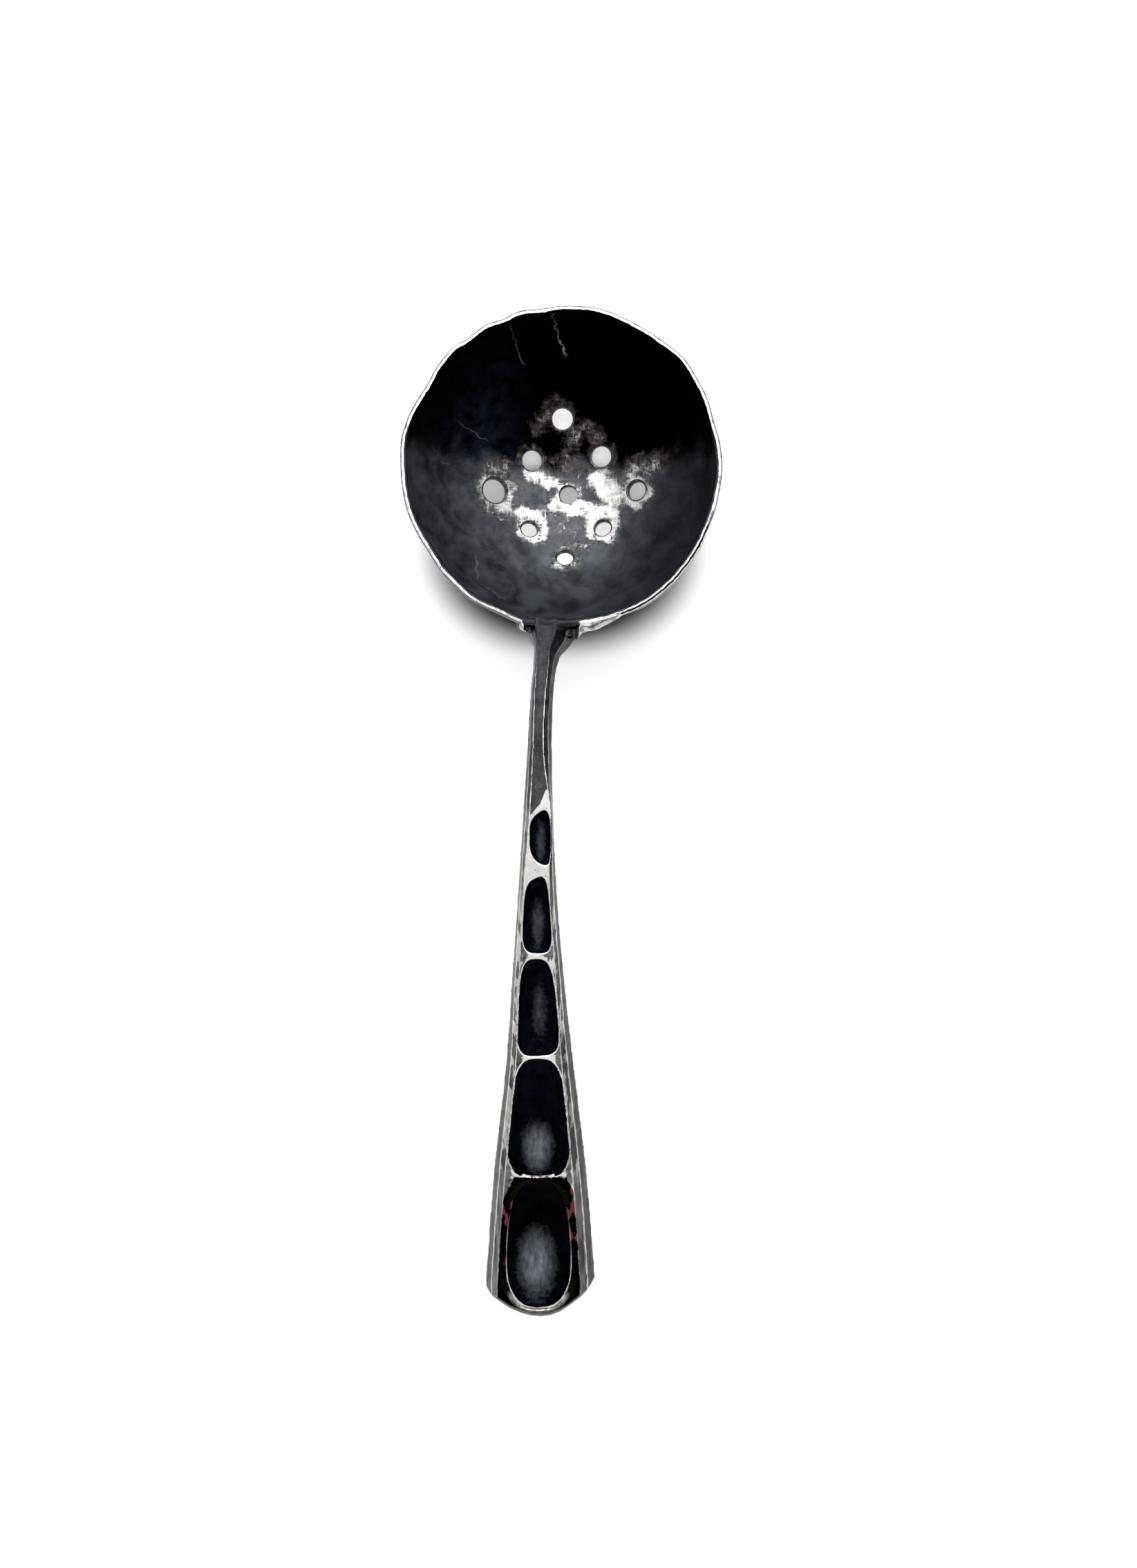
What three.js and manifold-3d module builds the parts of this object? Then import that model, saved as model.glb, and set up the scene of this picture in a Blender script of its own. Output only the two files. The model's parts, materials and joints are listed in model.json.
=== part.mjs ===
// A bar strainer in darkened and polished white metal: a deep bowl raised by hammer from sheet and
// pierced with nine drain holes, soldered to a cast handle. The handle leaves the rim as a narrow stem
// with bevelled sides, widens to a broad end, and has five hollow cells scooped into its top, with thin
// ridges left standing between them.
//
// Millimetres, +Z up. +Y runs from the handle's end to the bowl, and +X is to the right of someone who
// holds the handle. Everything is made round the bowl's middle, and at the end the whole group is
// shifted, so that the origin is on the table under the middle of the strainer's box.

import * as THREE from 'three';
import { mergeVertices } from 'three/addons/utils/BufferGeometryUtils.js';
import Module from 'manifold-3d';

const wasm = await Module();
wasm.setup();

// The bowl is half an ellipsoid, measured outside.
const BOWL_RADIUS = 34.4;
const BOWL_DEPTH = 25;
const BOWL_WALL = 1.4;
const RIM_ROUND = 0.45; // the rim's two corners are rubbed round
const FOOT_RADIUS = 6.5; // a flat is hammered under the bowl, so that it stands

// Hammer blows that show in the rim: the angle in degrees, anticlockwise from +X as seen from above,
// how many degrees the blow reaches to each side, and how far it moved the wall, outwards if positive.
const RIM_BLOWS = [
  { at: 16, reach: 5, move: -0.35 },
  { at: 41, reach: 9, move: 0.45 },
  { at: 75, reach: 6, move: 0.3 },
  { at: 97, reach: 5, move: -0.5 },
  { at: 111, reach: 4, move: -0.6 },
  { at: 126, reach: 4, move: -0.5 },
  { at: 149, reach: 8, move: -0.75 },
  { at: 170, reach: 6, move: 0.5 },
  { at: 211, reach: 7, move: -0.35 },
  { at: 235, reach: 6, move: 0.35 },
  { at: 305, reach: 7, move: 0.25 },
  { at: 336, reach: 10, move: -0.15 },
];
// To the right of the handle the rim was driven in, so that the wall swells out a little under it.
const SWELL = { at: -45, reach: 22, move: 0.6, belowRim: 3.2, height: 2.6 };
// Shallow flats that the hammer left all over the wall.
const PLANISH_DEPTH = 0.16;
const PLANISH_AROUND = 13; // flats in one turn
const PLANISH_ROWS = 3.5; // rows from foot to rim
const PLANISH_TWIST = 2.2; // how far each row is turned from the one below, in radians

// The drain holes are a square of three by three, standing on its corner. They were set out by eye on
// the outside of the wall, so each one strays from its place.
const HOLE_PITCH = 11.75;
const HOLES_MIDDLE = { x: 0.9, y: -0.15 };
const HOLE_BEVEL = 0.3; // at the inner mouth
const HOLES = [
  { row: 1, column: 1, strayX: -0.8, strayY: 0.35, bore: 4.75 },
  { row: 0, column: 1, strayX: 0.3, strayY: -0.6, bore: 4.65 },
  { row: 1, column: 0, strayX: 0.1, strayY: 0.2, bore: 4.7 },
  { row: -1, column: 1, strayX: -0.3, strayY: 0.1, bore: 5.6 },
  { row: 0, column: 0, strayX: 0.7, strayY: -0.3, bore: 4.2 },
  { row: 1, column: -1, strayX: 0.2, strayY: -0.05, bore: 4.3 },
  { row: -1, column: 0, strayX: -0.4, strayY: -0.45, bore: 3.75 },
  { row: 0, column: -1, strayX: 0.5, strayY: -0.3, bore: 3.85 },
  { row: -1, column: -1, strayX: -0.2, strayY: 0.8, bore: 3.8 },
];

// The handle's upright shape. Distances along it run from the outside of the bowl to the end.
const STEM_LENGTH = 39.6; // from the bowl to the first cell
const STEM_RISE = 0.2; // top of the stem above the rim
const LEVEL_LENGTH = 12; // the underside is level so far, and then sweeps down to the table
const REST_LENGTH = 11; // the last stretch lies flat on the table
const ROOT_DROP = 4.2; // how much deeper the root is than the stem
const ROOT_LENGTH = 9; // over which that depth runs out
const TROUGH_DEPTH = 0.35; // the hollow between the stem's two top edges
const TROUGH_FADE = 8; // over which it runs out before the first cell

// The handle's cross-section, for the stem and for the broad end. The flat underside stands in from the
// widest line, which the side reaches at the girdle's height. The bevel above it is two planes that
// meet at the fold, which is so high, and in by that share of the bevel's width.
const STEM_SECTION = { thickness: 4.4, underside: 1.2, girdle: 1.7, fold: 3.1, foldIn: 0.42 };
const END_SECTION = { thickness: 5.2, underside: 3, girdle: 1.9, fold: 3.9, foldIn: 0.45 };

// The handle's plan: x of its left and right sides, and the width of the bevel beside each. The stem's
// are given at distances from the bowl, the rest where each cell starts and where the tip starts.
const STEM_PLAN = [
  { at: -6, left: -8.6, right: 4.8, bevelLeft: 2.9, bevelRight: 5.6 },
  { at: 0.8, left: -7.7, right: 3.4, bevelLeft: 2.2, bevelRight: 4.5 },
  { at: 3.4, left: -6.1, right: 2.1, bevelLeft: 0.8, bevelRight: 4.2 },
  { at: 6, left: -6, right: -0.2, bevelLeft: 0.7, bevelRight: 2.4 },
  { at: 9, left: -6.2, right: -1.1, bevelLeft: 0.7, bevelRight: 1.7 },
  { at: 14, left: -6.7, right: -1.7, bevelLeft: 0.9, bevelRight: 1.7 },
  { at: 27, left: -7.5, right: -2, bevelLeft: 1.3, bevelRight: 1.8 },
];
const TIP_PLAN = { left: -17.7, right: 7.7, bevelLeft: 2.8, bevelRight: 3.5 };
const TIP_LENGTHS = { left: 6.1, right: 8.3 }; // the pointed arch that closes the broad end
const TIP_POWER = 1.9; // 2 would be a parabola, 1 a straight-sided point
const TIP_BEVEL = 1.3; // at the tip's upper edge

// The five cells: length, the ridge left before the next one or before the tip, the plan where the cell
// starts, the land between the handle's side and the cell at its start and end, how far its two ends
// slant (positive if they reach further at the right), the sloping shoulders at its sides and at its
// start, its depth, and how square its corners are (2 makes an ellipse, more is squarer).
const CELLS = [
  {
    length: 11, ridge: 3.4, depth: 1.7, squareness: 3,
    plan: { left: -8.4, right: -1.8, bevelLeft: 1.5, bevelRight: 0.5 },
    landLeft: [1.5, 2.4], landRight: [0.7, 0.8], slant: [-2.8, 2.2], shoulder: 0.1, shoulderStart: 0.2,
  },
  {
    length: 16.6, ridge: 1.6, depth: 1.9, squareness: 3.6,
    plan: { left: -9.4, right: -1.2, bevelLeft: 1.3, bevelRight: 1.5 },
    landLeft: [1.6, 2], landRight: [2, 1.9], slant: [-2, 0.1], shoulder: 0.25, shoulderStart: 0.3,
  },
  {
    length: 22.2, ridge: 1, depth: 2.2, squareness: 3.6,
    plan: { left: -10.8, right: 0.1, bevelLeft: 1.5, bevelRight: 1.7 },
    landLeft: [2.2, 2.3], landRight: [2.6, 2.6], slant: [0, -0.6], shoulder: 0.6, shoulderStart: 0.3,
  },
  {
    length: 27.8, ridge: 1.2, depth: 2.5, squareness: 3.4,
    plan: { left: -12.6, right: 2.5, bevelLeft: 2.3, bevelRight: 2.6 },
    landLeft: [3.2, 3.6], landRight: [3.6, 4.3], slant: [0, 0], shoulder: 1.4, shoulderStart: 0.4,
  },
  {
    length: 29.8, ridge: 2.3, depth: 2.9, squareness: 2.7,
    plan: { left: -15.9, right: 5.8, bevelLeft: 2.7, bevelRight: 3.2 },
    landLeft: [4.2, 4.6], landRight: [4.7, 5.4], slant: [0, 0], shoulder: 1.8, shoulderStart: 0.4,
  },
];
const SHOULDER_DEPTH = 0.5;
const SHOULDER_END = 0.3; // width of the shoulder at a cell's far end
const FLOOR_POWER = 0.65; // how full the cells' floors are: 1 makes them round, less is flatter

// The solder shows as a bead round the root and as a run beside it, over the outside of the rim.
const SOLDER_GAP = 0.3;
const BEAD = 1.3;
const RUN_LENGTH = 10.5; // along the rim, to the right of the root
const RUN_THICKNESS = 2.1; // beside the root
const RUN_END_THICKNESS = 0.6; // where it has thinned out
const RUN_HEIGHT = 2.6;
const RUN_END_HEIGHT = 1.3;
const DROP_RADIUS = 0.9; // the round drop at the root's left corner

// How finely curves are stepped.
const BOWL_STEPS = 72;
const WALL_STEPS = 13;
const ROUND_STEPS = 3;
const HOLE_STEPS = 24;
const HANDLE_STEP = 2;
const TIP_STEPS = 20;
const CELL_STEPS = 36;
const FLOOR_STEPS = 4;
const RUN_STEPS = 12;
const BULGE_STEPS = 6;

const REACH = 10; // how far cutters reach past what they cut
const SMALL_REACH = 1; // the same for cutters with sloping sides
const WELD = 1e-4; // points closer than this are one point
const { clamp, lerp, smoothstep, radToDeg, degToRad, euclideanModulo } = THREE.MathUtils;
const FLOOR_ARC = degToRad(80); // the floors' outer layers follow this much of a quarter turn

// Where each cell starts, and what follows from that.
const cells = [];
let along = STEM_LENGTH;
for (const cell of CELLS) {
  cells.push({ ...cell, from: along });
  along += cell.length + cell.ridge;
}
const handleLength = along;
const tipStart = handleLength - Math.max(TIP_LENGTHS.left, TIP_LENGTHS.right);
const stemUnderside = BOWL_DEPTH + STEM_RISE - STEM_SECTION.thickness;

// The handle's plan at any distance, as a smooth curve through the given places.
const stations = [
  ...STEM_PLAN,
  ...cells.map((cell) => ({ at: cell.from, ...cell.plan })),
  { at: tipStart, ...TIP_PLAN },
];
const planCurve = new THREE.CubicInterpolant(
  stations.map((station) => station.at),
  stations.flatMap((station) => [station.left, station.right, station.bevelLeft, station.bevelRight]),
  4,
);

function planAt(distance) {
  const [left, right, bevelLeft, bevelRight] = planCurve.evaluate(distance);
  return { left, right, bevelLeft, bevelRight };
}

function sectionAt(distance) {
  const share = smoothstep(distance, 0, tipStart);
  const section = {};
  for (const size of Object.keys(STEM_SECTION)) {
    section[size] = lerp(STEM_SECTION[size], END_SECTION[size], share);
  }
  return section;
}

function undersideAt(distance) {
  return stemUnderside * (1 - smoothstep(distance, LEVEL_LENGTH, handleLength - REST_LENGTH));
}

function topAt(distance) {
  return undersideAt(distance) + sectionAt(distance).thickness;
}

function handlePoint(x, distance, z) {
  return new THREE.Vector3(x, -BOWL_RADIUS - distance, z);
}

// A geometry as a solid and back. The flat triangles that a lathe has at its poles are dropped.
function solidOf(geometry) {
  const bare = geometry.clone();
  bare.deleteAttribute('normal');
  bare.deleteAttribute('uv');
  const merged = mergeVertices(bare, WELD);
  const corners = merged.index.array;
  const kept = [];
  for (let i = 0; i < corners.length; i += 3) {
    const [a, b, c] = corners.slice(i, i + 3);
    if (a !== b && b !== c && c !== a) kept.push(a, b, c);
  }
  return new wasm.Manifold(new wasm.Mesh({
    numProp: 3,
    vertProperties: new Float32Array(merged.attributes.position.array),
    triVerts: new Uint32Array(kept),
  }));
}

function geometryOf(solid) {
  const mesh = solid.getMesh();
  const geometry = new THREE.BufferGeometry();
  geometry.setAttribute('position', new THREE.BufferAttribute(new Float32Array(mesh.vertProperties), 3));
  geometry.setIndex(new THREE.BufferAttribute(new Uint32Array(mesh.triVerts), 1));
  geometry.computeVertexNormals();
  return geometry;
}

// A solid through rings of equally many points, closed with a fan at each end.
function loft(rings) {
  const around = rings[0].length;
  const points = rings.flat();
  const faces = [];
  for (let ring = 0; ring < rings.length - 1; ring++) {
    for (let i = 0; i < around; i++) {
      const a = ring * around + i;
      const b = ring * around + ((i + 1) % around);
      faces.push(a, b, b + around, a, b + around, a + around);
    }
  }
  for (const [ring, first, turned] of [[rings[0], 0, true], [rings.at(-1), points.length - around, false]]) {
    const middle = ring.reduce((sum, point) => sum.add(point), new THREE.Vector3());
    points.push(middle.divideScalar(around));
    for (let i = 0; i < around; i++) {
      const [a, b] = [first + i, first + ((i + 1) % around)];
      faces.push(turned ? b : a, turned ? a : b, points.length - 1);
    }
  }
  const geometry = new THREE.BufferGeometry().setFromPoints(points);
  geometry.setIndex(faces);
  return solidOf(geometry);
}

// How strongly a blow is felt at an angle: 1 where it struck, fading to both sides.
function felt(blow, angle) {
  const away = euclideanModulo(radToDeg(angle) - blow.at + 180, 360) - 180;
  return Math.exp(-((away / blow.reach) ** 2));
}

// How far the hammer moved the wall outwards, at an angle and a height.
function hammered(angle, height) {
  const up = clamp(height / BOWL_DEPTH, 0, 1);
  let move = 0;
  for (const blow of RIM_BLOWS) move += blow.move * felt(blow, angle) * up ** 2;
  const fromSwell = (BOWL_DEPTH - SWELL.belowRim - height) / SWELL.height;
  move += SWELL.move * felt(SWELL, angle) * Math.exp(-(fromSwell ** 2));
  const row = up * PLANISH_ROWS;
  const flat = Math.cos(PLANISH_AROUND * angle + PLANISH_TWIST * row) * Math.cos(Math.PI * row);
  return move + PLANISH_DEPTH * flat * Math.sqrt(up) * (1 - up ** 6);
}

// A turned shape standing upright on the bowl's axis, with the hammer's marks in it.
function hammeredTurning(profile) {
  const geometry = new THREE.LatheGeometry(profile, BOWL_STEPS).rotateX(Math.PI / 2);
  const place = geometry.attributes.position;
  for (let i = 0; i < place.count; i++) {
    const [x, y, z] = [place.getX(i), place.getY(i), place.getZ(i)];
    const out = Math.hypot(x, y);
    if (out < WELD) continue;
    const stretch = 1 + hammered(Math.atan2(y, x), z) / out;
    place.setXY(i, x * stretch, y * stretch);
  }
  return solidOf(geometry);
}

// The upright curve of the wall's outside moved out by so much, or in if that is negative, from the flat
// at its foot up to so far below the rim.
const footDepth = BOWL_DEPTH / Math.sqrt(1 - (FOOT_RADIUS / BOWL_RADIUS) ** 2);
function wallCurve(out, belowRim) {
  const [radius, depth] = [BOWL_RADIUS + out, footDepth + out];
  const [first, last] = [Math.acos((BOWL_DEPTH + out) / depth), Math.acos(belowRim / depth)];
  const points = [];
  for (let step = 0; step <= WALL_STEPS; step++) {
    const swing = lerp(first, last, step / WALL_STEPS);
    points.push(new THREE.Vector2(radius * Math.sin(swing), BOWL_DEPTH - depth * Math.cos(swing)));
  }
  return points;
}

// A quarter round at the rim, from the side to the top.
function rimCorner(side, inwards) {
  const points = [];
  for (let step = 1; step <= ROUND_STEPS; step++) {
    const turn = (Math.PI / 2) * (step / ROUND_STEPS);
    points.push(new THREE.Vector2(
      side + inwards * RIM_ROUND * (1 - Math.cos(turn)),
      BOWL_DEPTH - RIM_ROUND * (1 - Math.sin(turn)),
    ));
  }
  return points;
}

function bowlShell() {
  return hammeredTurning([
    new THREE.Vector2(0, 0),
    ...wallCurve(0, RIM_ROUND),
    ...rimCorner(BOWL_RADIUS, -1),
    ...rimCorner(BOWL_RADIUS - BOWL_WALL, 1).reverse(),
    ...wallCurve(-BOWL_WALL, RIM_ROUND).reverse(),
    new THREE.Vector2(0, BOWL_WALL),
  ]);
}

// All that lies inside the bowl's outside, moved out by so much, with a straight wall on above the rim.
function bowlCore(out) {
  return hammeredTurning([
    new THREE.Vector2(0, -out),
    ...wallCurve(out, 0),
    new THREE.Vector2(BOWL_RADIUS + out, BOWL_DEPTH + REACH),
    new THREE.Vector2(0, BOWL_DEPTH + REACH),
  ]);
}

// A drill that stands square to the wall at one hole, with its point towards the bowl's inside.
function drill(hole) {
  const diagonal = HOLE_PITCH * Math.SQRT1_2;
  const x = HOLES_MIDDLE.x + (hole.row - hole.column) * diagonal + hole.strayX;
  const y = HOLES_MIDDLE.y + (hole.row + hole.column) * diagonal + hole.strayY;
  const out = Math.hypot(x, y) / BOWL_RADIUS;
  const below = Math.sqrt(1 - out ** 2) * footDepth;
  const inwards = new THREE.Vector3(-x / BOWL_RADIUS ** 2, -y / BOWL_RADIUS ** 2, below / footDepth ** 2);
  inwards.normalize();
  const radius = hole.bore / 2;
  const mouth = BOWL_WALL - HOLE_BEVEL;
  const bit = new THREE.LatheGeometry([
    new THREE.Vector2(0, -SMALL_REACH),
    new THREE.Vector2(radius, -SMALL_REACH),
    new THREE.Vector2(radius, mouth),
    new THREE.Vector2(radius + HOLE_BEVEL + SMALL_REACH, mouth + HOLE_BEVEL + SMALL_REACH),
    new THREE.Vector2(0, mouth + HOLE_BEVEL + SMALL_REACH),
  ], HOLE_STEPS);
  bit.applyQuaternion(new THREE.Quaternion().setFromUnitVectors(new THREE.Vector3(0, 1, 0), inwards));
  bit.translate(x, y, Math.max(0, BOWL_DEPTH - below));
  return solidOf(bit);
}

function piercedBowl() {
  return HOLES.reduce((bowl, hole) => bowl.subtract(drill(hole)), bowlShell());
}

// One ring of the handle's skin, grown outwards all round by so much.
function handleRing(distance, grow) {
  const plan = planAt(distance);
  const section = sectionAt(distance);
  const root = ROOT_DROP * (1 - smoothstep(distance, 0, ROOT_LENGTH));
  const bottom = undersideAt(distance) - root;
  const top = topAt(distance);
  const trough = TROUGH_DEPTH * smoothstep(STEM_LENGTH - distance, 0, TROUGH_FADE);
  const raise = (height) => bottom + height * ((top - bottom) / section.thickness);
  const crestLeft = plan.left + plan.bevelLeft;
  const crestRight = plan.right - plan.bevelRight;
  const hollow = [1 / 4, 1 / 2, 3 / 4].map((share) => (
    [lerp(crestRight, crestLeft, share), top + grow - trough * 4 * share * (1 - share)]
  ));
  const outline = [
    [plan.left + section.underside, bottom - grow],
    [plan.right - section.underside, bottom - grow],
    [plan.right + grow, raise(section.girdle)],
    [plan.right + grow - plan.bevelRight * section.foldIn, raise(section.fold)],
    [crestRight + grow, top + grow],
    ...hollow,
    [crestLeft - grow, top + grow],
    [plan.left - grow + plan.bevelLeft * section.foldIn, raise(section.fold)],
    [plan.left - grow, raise(section.girdle)],
  ];
  return outline.map(([x, z]) => handlePoint(x, distance, z));
}

function handleBlank(grow, end) {
  const first = STEM_PLAN[0].at;
  const count = Math.round((end - first) / HANDLE_STEP);
  const rings = [];
  for (let i = 0; i <= count; i++) rings.push(handleRing(lerp(first, end, i / count), grow));
  return loft(rings);
}

// Everything short of the tip's pointed arch, which leans back above the start of its bevel.
function tipKeeper() {
  const { left, right } = planAt(tipStart);
  const middle = (left + right) / 2;
  const half = (right - left) / 2;
  const bevelStart = END_SECTION.thickness - TIP_BEVEL;
  const levels = [
    { z: -REACH, back: 0 },
    { z: bevelStart, back: 0 },
    { z: BOWL_DEPTH + REACH, back: BOWL_DEPTH + REACH - bevelStart },
  ];
  const rings = levels.map(({ z, back }) => {
    const ring = [];
    for (let step = 0; step <= TIP_STEPS; step++) {
      const across = lerp(-1, 1, step / TIP_STEPS) * (1 + REACH / half);
      const arch = (across < 0 ? TIP_LENGTHS.left : TIP_LENGTHS.right) * Math.abs(across) ** TIP_POWER;
      ring.push(handlePoint(middle + across * half, handleLength - arch - back, z));
    }
    ring.push(handlePoint(middle + half + REACH, -BOWL_RADIUS, z));
    ring.push(handlePoint(middle - half - REACH, -BOWL_RADIUS, z));
    return ring;
  });
  return loft(rings);
}

// One ring of a cell's cutter: a square-cornered oval that keeps the cell's land to the handle's sides,
// grown by so much at its sides and ends and shrunk to a share, at a depth below the handle's top.
function cellRing(cell, depth, share, growSide, growStart, growEnd) {
  const ring = [];
  const power = 2 / cell.squareness;
  for (let step = 0; step < CELL_STEPS; step++) {
    const turn = (step / CELL_STEPS) * 2 * Math.PI;
    const across = Math.sign(Math.cos(turn)) * Math.abs(Math.cos(turn)) ** power * share;
    const down = Math.sign(Math.sin(turn)) * Math.abs(Math.sin(turn)) ** power * share;
    const part = (1 + down) / 2;
    const [start, end] = [cell.from - growStart, cell.from + cell.length + growEnd];
    const distance = lerp(start, end, part) + (across / 2) * lerp(cell.slant[0], cell.slant[1], part);
    const { left, right } = planAt(distance);
    const edgeLeft = left + lerp(cell.landLeft[0], cell.landLeft[1], part) - growSide;
    const edgeRight = right - lerp(cell.landRight[0], cell.landRight[1], part) + growSide;
    ring.push(handlePoint(lerp(edgeLeft, edgeRight, (1 + across) / 2), distance, topAt(distance) - depth));
  }
  return ring;
}

function cellCutter(cell) {
  const wider = 1 + SMALL_REACH / SHOULDER_DEPTH;
  const [side, start, end] = [cell.shoulder, cell.shoulderStart, SHOULDER_END].map((width) => width * wider);
  const rings = [
    cellRing(cell, -SMALL_REACH, 1, side, start, end),
    cellRing(cell, SHOULDER_DEPTH, 1, 0, 0, 0),
  ];
  for (let step = 1; step <= FLOOR_STEPS; step++) {
    const turn = FLOOR_ARC * (step / FLOOR_STEPS);
    const depth = lerp(SHOULDER_DEPTH, cell.depth, Math.sin(turn));
    rings.push(cellRing(cell, depth, Math.cos(turn) ** FLOOR_POWER, 0, 0, 0));
  }
  return loft(rings);
}

function handle() {
  const blank = handleBlank(0, handleLength + HANDLE_STEP).intersect(tipKeeper());
  const carved = cells.reduce((body, cell) => body.subtract(cellCutter(cell)), blank);
  return carved.subtract(bowlCore(SOLDER_GAP));
}

// The run of solder: it hugs the bowl from the root onwards, and thins out along the rim.
function solderRun() {
  const rootRight = planAt(0).right;
  const first = -Math.PI / 2 + (rootRight - BEAD) / BOWL_RADIUS;
  const rings = [];
  for (let step = 0; step <= RUN_STEPS; step++) {
    const part = step / RUN_STEPS;
    const angle = first + part * (RUN_LENGTH / BOWL_RADIUS);
    const thick = lerp(RUN_THICKNESS, RUN_END_THICKNESS, part ** 2);
    const high = lerp(RUN_HEIGHT, RUN_END_HEIGHT, part);
    const inner = BOWL_RADIUS - BOWL_WALL;
    const section = [[inner, BOWL_DEPTH]];
    for (let bulge = 0; bulge <= BULGE_STEPS; bulge++) {
      const turn = Math.PI * (1 / 2 - bulge / BULGE_STEPS);
      const out = BOWL_RADIUS + SOLDER_GAP + thick * Math.cos(turn);
      section.push([out, BOWL_DEPTH - (high / 2) * (1 - Math.sin(turn))]);
    }
    section.push([inner, BOWL_DEPTH - high]);
    rings.push(section.map(([out, z]) => new THREE.Vector3(out * Math.cos(angle), out * Math.sin(angle), z)));
  }
  return loft(rings);
}

function solderDrop() {
  const angle = -Math.PI / 2 + planAt(0).left / BOWL_RADIUS;
  const drop = new THREE.SphereGeometry(DROP_RADIUS, HOLE_STEPS, HOLE_STEPS / 2);
  const radius = BOWL_RADIUS + SOLDER_GAP + DROP_RADIUS / 2;
  drop.translate(radius * Math.cos(angle), radius * Math.sin(angle), BOWL_DEPTH);
  return solidOf(drop);
}

// The bead fills the corner between the root and the bowl, on all sides but the top.
function solderSeam() {
  const collar = handleBlank(SOLDER_GAP + BEAD, ROOT_LENGTH).intersect(bowlCore(SOLDER_GAP + BEAD));
  const ceiling = new THREE.BoxGeometry(2 * BOWL_RADIUS, 4 * BOWL_RADIUS, REACH);
  ceiling.translate(0, 0, BOWL_DEPTH + REACH / 2);
  return collar
    .subtract(solidOf(ceiling))
    .add(solderRun())
    .add(solderDrop())
    .subtract(bowlCore(SOLDER_GAP))
    .subtract(handleBlank(SOLDER_GAP, ROOT_LENGTH + REACH));
}

const MATERIALS = {
  bowl: { color: '#2b2d33', roughness: 0.45, metalness: 1 },
  handle: { color: '#54565b', roughness: 0.35, metalness: 1 },
  solder_seam: { color: '#b9b9b6', roughness: 0.25, metalness: 1 },
};

function piece(name, solid) {
  const mesh = new THREE.Mesh(geometryOf(solid), new THREE.MeshStandardMaterial(MATERIALS[name]));
  mesh.name = name;
  return mesh;
}

const strainer = new THREE.Group();
strainer.add(piece('bowl', piercedBowl()));
strainer.add(piece('handle', handle()));
strainer.add(piece('solder_seam', solderSeam()));

const box = new THREE.Box3().setFromObject(strainer);
const middle = box.getCenter(new THREE.Vector3());
strainer.position.set(-middle.x, -middle.y, -box.min.z);

export default strainer;
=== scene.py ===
# %% [markdown]
# # A bar strainer in darkened white metal
# The object is a deep bowl, beaten from sheet and pierced with nine holes, on a cast handle. Its form
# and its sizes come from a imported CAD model, the frame. Blender's task is the skin: the marks that the
# hammer and the files left, the dark patina, and the places where it was polished off again.

# %% Load the frame
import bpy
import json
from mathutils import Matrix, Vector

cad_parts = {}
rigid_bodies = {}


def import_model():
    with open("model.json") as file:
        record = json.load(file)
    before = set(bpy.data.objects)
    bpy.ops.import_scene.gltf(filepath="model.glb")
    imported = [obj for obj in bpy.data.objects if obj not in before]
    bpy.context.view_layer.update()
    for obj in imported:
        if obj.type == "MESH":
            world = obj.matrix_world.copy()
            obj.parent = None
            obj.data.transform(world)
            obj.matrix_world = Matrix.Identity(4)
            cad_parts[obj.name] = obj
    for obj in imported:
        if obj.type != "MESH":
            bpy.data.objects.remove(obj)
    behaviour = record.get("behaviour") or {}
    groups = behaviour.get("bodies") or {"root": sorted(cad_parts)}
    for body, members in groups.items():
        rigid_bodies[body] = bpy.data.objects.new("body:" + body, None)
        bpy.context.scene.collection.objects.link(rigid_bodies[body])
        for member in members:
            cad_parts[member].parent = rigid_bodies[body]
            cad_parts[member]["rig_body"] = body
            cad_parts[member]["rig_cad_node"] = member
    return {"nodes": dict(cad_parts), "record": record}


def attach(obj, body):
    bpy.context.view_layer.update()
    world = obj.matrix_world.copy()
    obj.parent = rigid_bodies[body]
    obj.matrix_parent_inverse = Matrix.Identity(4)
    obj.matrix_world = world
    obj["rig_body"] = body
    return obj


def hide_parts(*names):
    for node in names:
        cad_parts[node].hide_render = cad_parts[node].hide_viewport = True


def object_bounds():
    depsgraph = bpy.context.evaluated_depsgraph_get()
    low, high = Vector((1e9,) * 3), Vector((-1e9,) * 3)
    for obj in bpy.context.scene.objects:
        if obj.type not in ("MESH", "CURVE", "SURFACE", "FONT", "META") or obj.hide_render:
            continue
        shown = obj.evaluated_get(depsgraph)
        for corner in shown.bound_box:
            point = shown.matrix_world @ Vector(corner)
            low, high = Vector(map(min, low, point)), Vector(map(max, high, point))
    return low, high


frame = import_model()
cad_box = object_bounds()
print("CAD nodes:", sorted(frame["nodes"]))

# %% [markdown]
# ## Working in millimetres
# Blender counts in metres, and a maker of small metalware counts in millimetres. All sizes below are
# in millimetres and are multiplied by MM where Blender takes them. The bowl's axis is read off the
# frame: the space inside the bowl is stated in the record as a box, and the axis runs through its middle.

# %% Millimetres and the bowl's axis
import json
import math
from functools import partial
import bmesh
import bpy
import numpy as np
from mathutils import Vector
from mathutils.bvhtree import BVHTree
from mathutils.kdtree import KDTree

MM = 0.001
openings = {opening["name"]: opening["box_m"] for opening in frame["record"]["physics"]["openings"]}
mouth_low, mouth_high = openings["bowl_mouth"]
AXIS_X, AXIS_Y = [(mouth_low[i] + mouth_high[i]) / 2 / MM for i in (0, 1)]
print(f"bowl's axis at x {AXIS_X:.3f}, y {AXIS_Y:.3f} mm")


def place(x, y, z):
    """A point given in millimetres from the foot of the bowl's axis, in Blender's metres."""
    return Vector((AXIS_X + x, AXIS_Y + y, z)) * MM


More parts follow.
